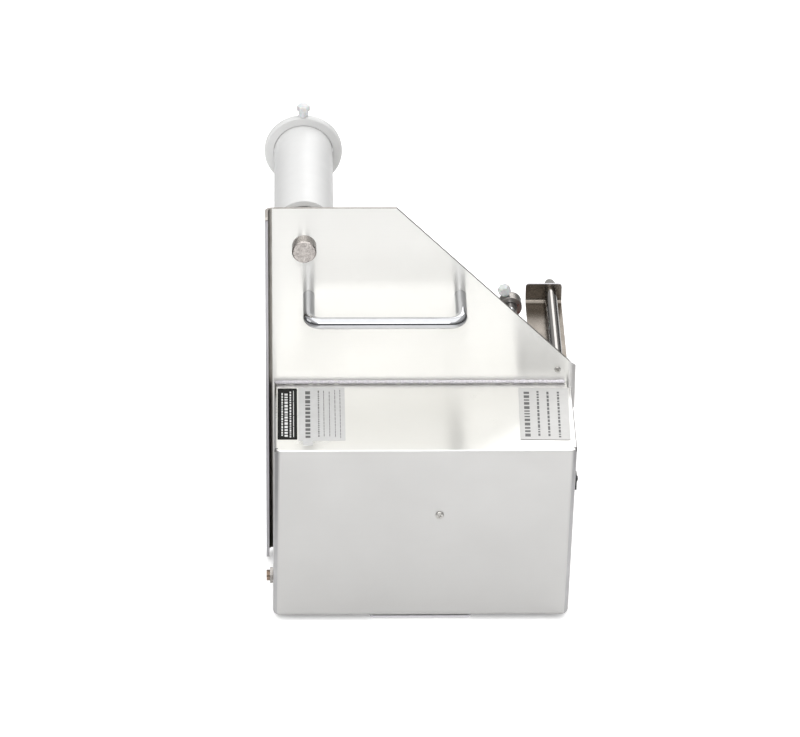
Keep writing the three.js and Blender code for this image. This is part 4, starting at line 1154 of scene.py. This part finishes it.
def build_pinch_fittings():
    r, near, far = girth("pinch_axle")
    profile = [(0, near), (r - 0.4, near), (r, near + 0.4), (r, far - 0.4), (r - 0.4, far), (0, far)]
    make_turned("pinch_axle", profile, "zinc_steel", 0.1)
    r, near, far = girth("pinch_roller")
    make_turned("pinch_roller", ring_profile(3.3, r, near, far), "black_rubber", 0.6, ring=True)
    r, near, far = girth("pinch_pivot")
    seat = far - 3
    profile = [(0, near), (4, near), (4, seat), (r, seat), (r, far - 0.6), (r - 0.8, far), (0, far)]
    make_turned("pinch_pivot", profile, "zinc_steel", 0.3)

    r, near, far = girth("pinch_spring")
    wire, turns, steps = 0.8, 4, 28
    pivot = middle("pinch_pivot")
    pitch = (far - near - 2 * wire) / turns
    path = []
    for i in range(turns * steps + 1):
        across, up = (r - wire) * math.cos(math.tau * i / steps), (r - wire) * math.sin(math.tau * i / steps)
        path.append((pivot.x + across, near + wire + pitch * i / steps, pivot.z + up))
    make("pinch_spring", swept(path, wire, 14, 0.2), "zinc_steel")


# ---- drive roller and rewind

SHAFT_BORE = 5.3


def build_shaft(node, ease=0.6, dimple=(1.3, 1.1)):
    """A turned shaft with a centre hole in its far end, as (radius, depth)."""
    r, near, far = girth(node)
    profile = [(0, near), (r - 0.5, near), (r, near + 0.5), (r, far - ease), (r - ease, far)]
    profile += [(dimple[0], far), (0, far - dimple[1])]
    make_turned(node, profile, "turned_steel", 0.1)


def build_drive():
    build_bush("drive_bush", 14, SHAFT_BORE)
    build_shaft("drive_shaft")
    r, near, far = girth("drive_roller")
    profile = [(r, near), (r, far), (8, far), (8, far - 1), (SHAFT_BORE, far - 1), (SHAFT_BORE, near)]
    make_turned("drive_roller", profile, "red_rubber", 0.8, ring=True)


def build_rewind():
    build_bush("rewind_bush", 14, SHAFT_BORE)
    build_shaft("rewind_shaft")
    r, near, far = girth("rewind_disc")
    make_turned("rewind_disc", ring_profile(SHAFT_BORE, r, near, far), "turned_steel", 0.5, ring=True)

    r, near, far = girth("rewind_hub")
    centre = middle("rewind_hub")
    groove = far - 0.8
    profile = [
        (r, near), (r, far), (r - 4, far), (r - 4.6, groove), (9.4, groove), (8.6, far),
        (SHAFT_BORE, far), (SHAFT_BORE, near),
    ]
    cuts = []
    for z in (centre.z - 17, centre.z + 17):  # holes for the clip's legs
        cuts.append(brick((centre.x - 3, near + 8, z - 3), (centre.x + 3, far + 2, z + 3)))
    make_turned("rewind_hub", profile, "bare_aluminium", 0.8, ring=True, cuts=cuts)

    low, high = box("rewind_clip")
    wire, bend = 2.0, 6
    x = (low.x + high.x) / 2
    top, bottom, end = high.z - wire, low.z + wire, high.y - wire
    upper = [(x, y, z) for y, z in arc((end - bend, top - bend), bend, 90, 0, 14)]
    lower = [(x, y, z) for y, z in arc((end - bend, bottom + bend), bend, 0, -90, 14)]
    path = [(x, low.y, top), (x, low.y + 4, top), *upper, *lower, (x, low.y + 4, bottom), (x, low.y, bottom)]
    make("rewind_clip", swept(path, wire, 24, 0.5), "chrome_bar")


# ---- electrics

def build_jack():
    centre = middle("power_jack")
    axis = Vector((0, centre.y, centre.z))
    low, high = box("power_jack")
    foot, tip = -high.x, -low.x
    profile = [(0, foot), (8.5, foot), (8.5, foot + 12.2), (5.4, foot + 12.2)]
    at = foot + 12.6
    while at < tip - 1:
        profile += [(5.4, at), (5.75, at + THREAD_PITCH / 2)]
        at += THREAD_PITCH
    profile += [(5.5, tip), (3.2, tip), (3.2, tip - 12), (1, tip - 12), (1, tip - 2.4), (0, tip - 1.8)]
    make("power_jack", turned(axis, -ALONG_X, profile, 0.15), "plug_brass")

    low, high = box("jack_nut")
    inner, outer = JACK_HOLE, (high.z - low.z) / 2

    def six_sided(angle, radius, distance):
        return radius if radius < inner + 1 else hexagonal(angle, radius, 9)

    profile = [(inner, -high.x), (outer, -high.x), (outer, -low.x), (inner, -low.x)]
    mesh = turned(axis, -ALONG_X, profile, 0.3, ring=True, shape=six_sided)
    make("jack_nut", mesh, "collar_metal")


def build_switch():
    make("switch_body", eased(from_frame("switch_body"), 0.3), "black_plastic")
    make("switch_rocker", eased(from_frame("switch_rocker"), 0.45, 25), "black_plastic")


def build_hidden():
    """What the closed drive box hides keeps its CAD shape."""
    finishes = {
        "cover_standoff": "zinc_steel",
        "drive_belt": "black_rubber",
        "drive_pulley": "bare_aluminium",
        "rewind_pulley": "bare_aluminium",
        "motor_pulley": "bare_aluminium",
        "motor_shaft": "zinc_steel",
        "motor_bracket": "satin_steel",
        "gear_motor": "zinc_steel",
        "control_board": "board",
    }
    for node, material in finishes.items():
        slots = frame["nodes"][node].data.materials
        slots.clear()
        slots.append(MATERIALS[material])


MATERIALS = build_materials()
build_camera()
build_studio()
build_main_plate()
build_drive_box()
build_seam()
build_pan_screw("cover_screw", 2.2)
build_pan_screw("rod_screw", 1.3)
build_foot()
build_stickers()
build_handle()
build_spindle()
build_supply_tube()
build_roll_flange()
build_guides()
build_strip_tray()
build_strip_rod()
build_sensor()
build_pinch_arm()
build_pinch_fittings()
build_drive()
build_rewind()
build_jack()
build_switch()
build_hidden()
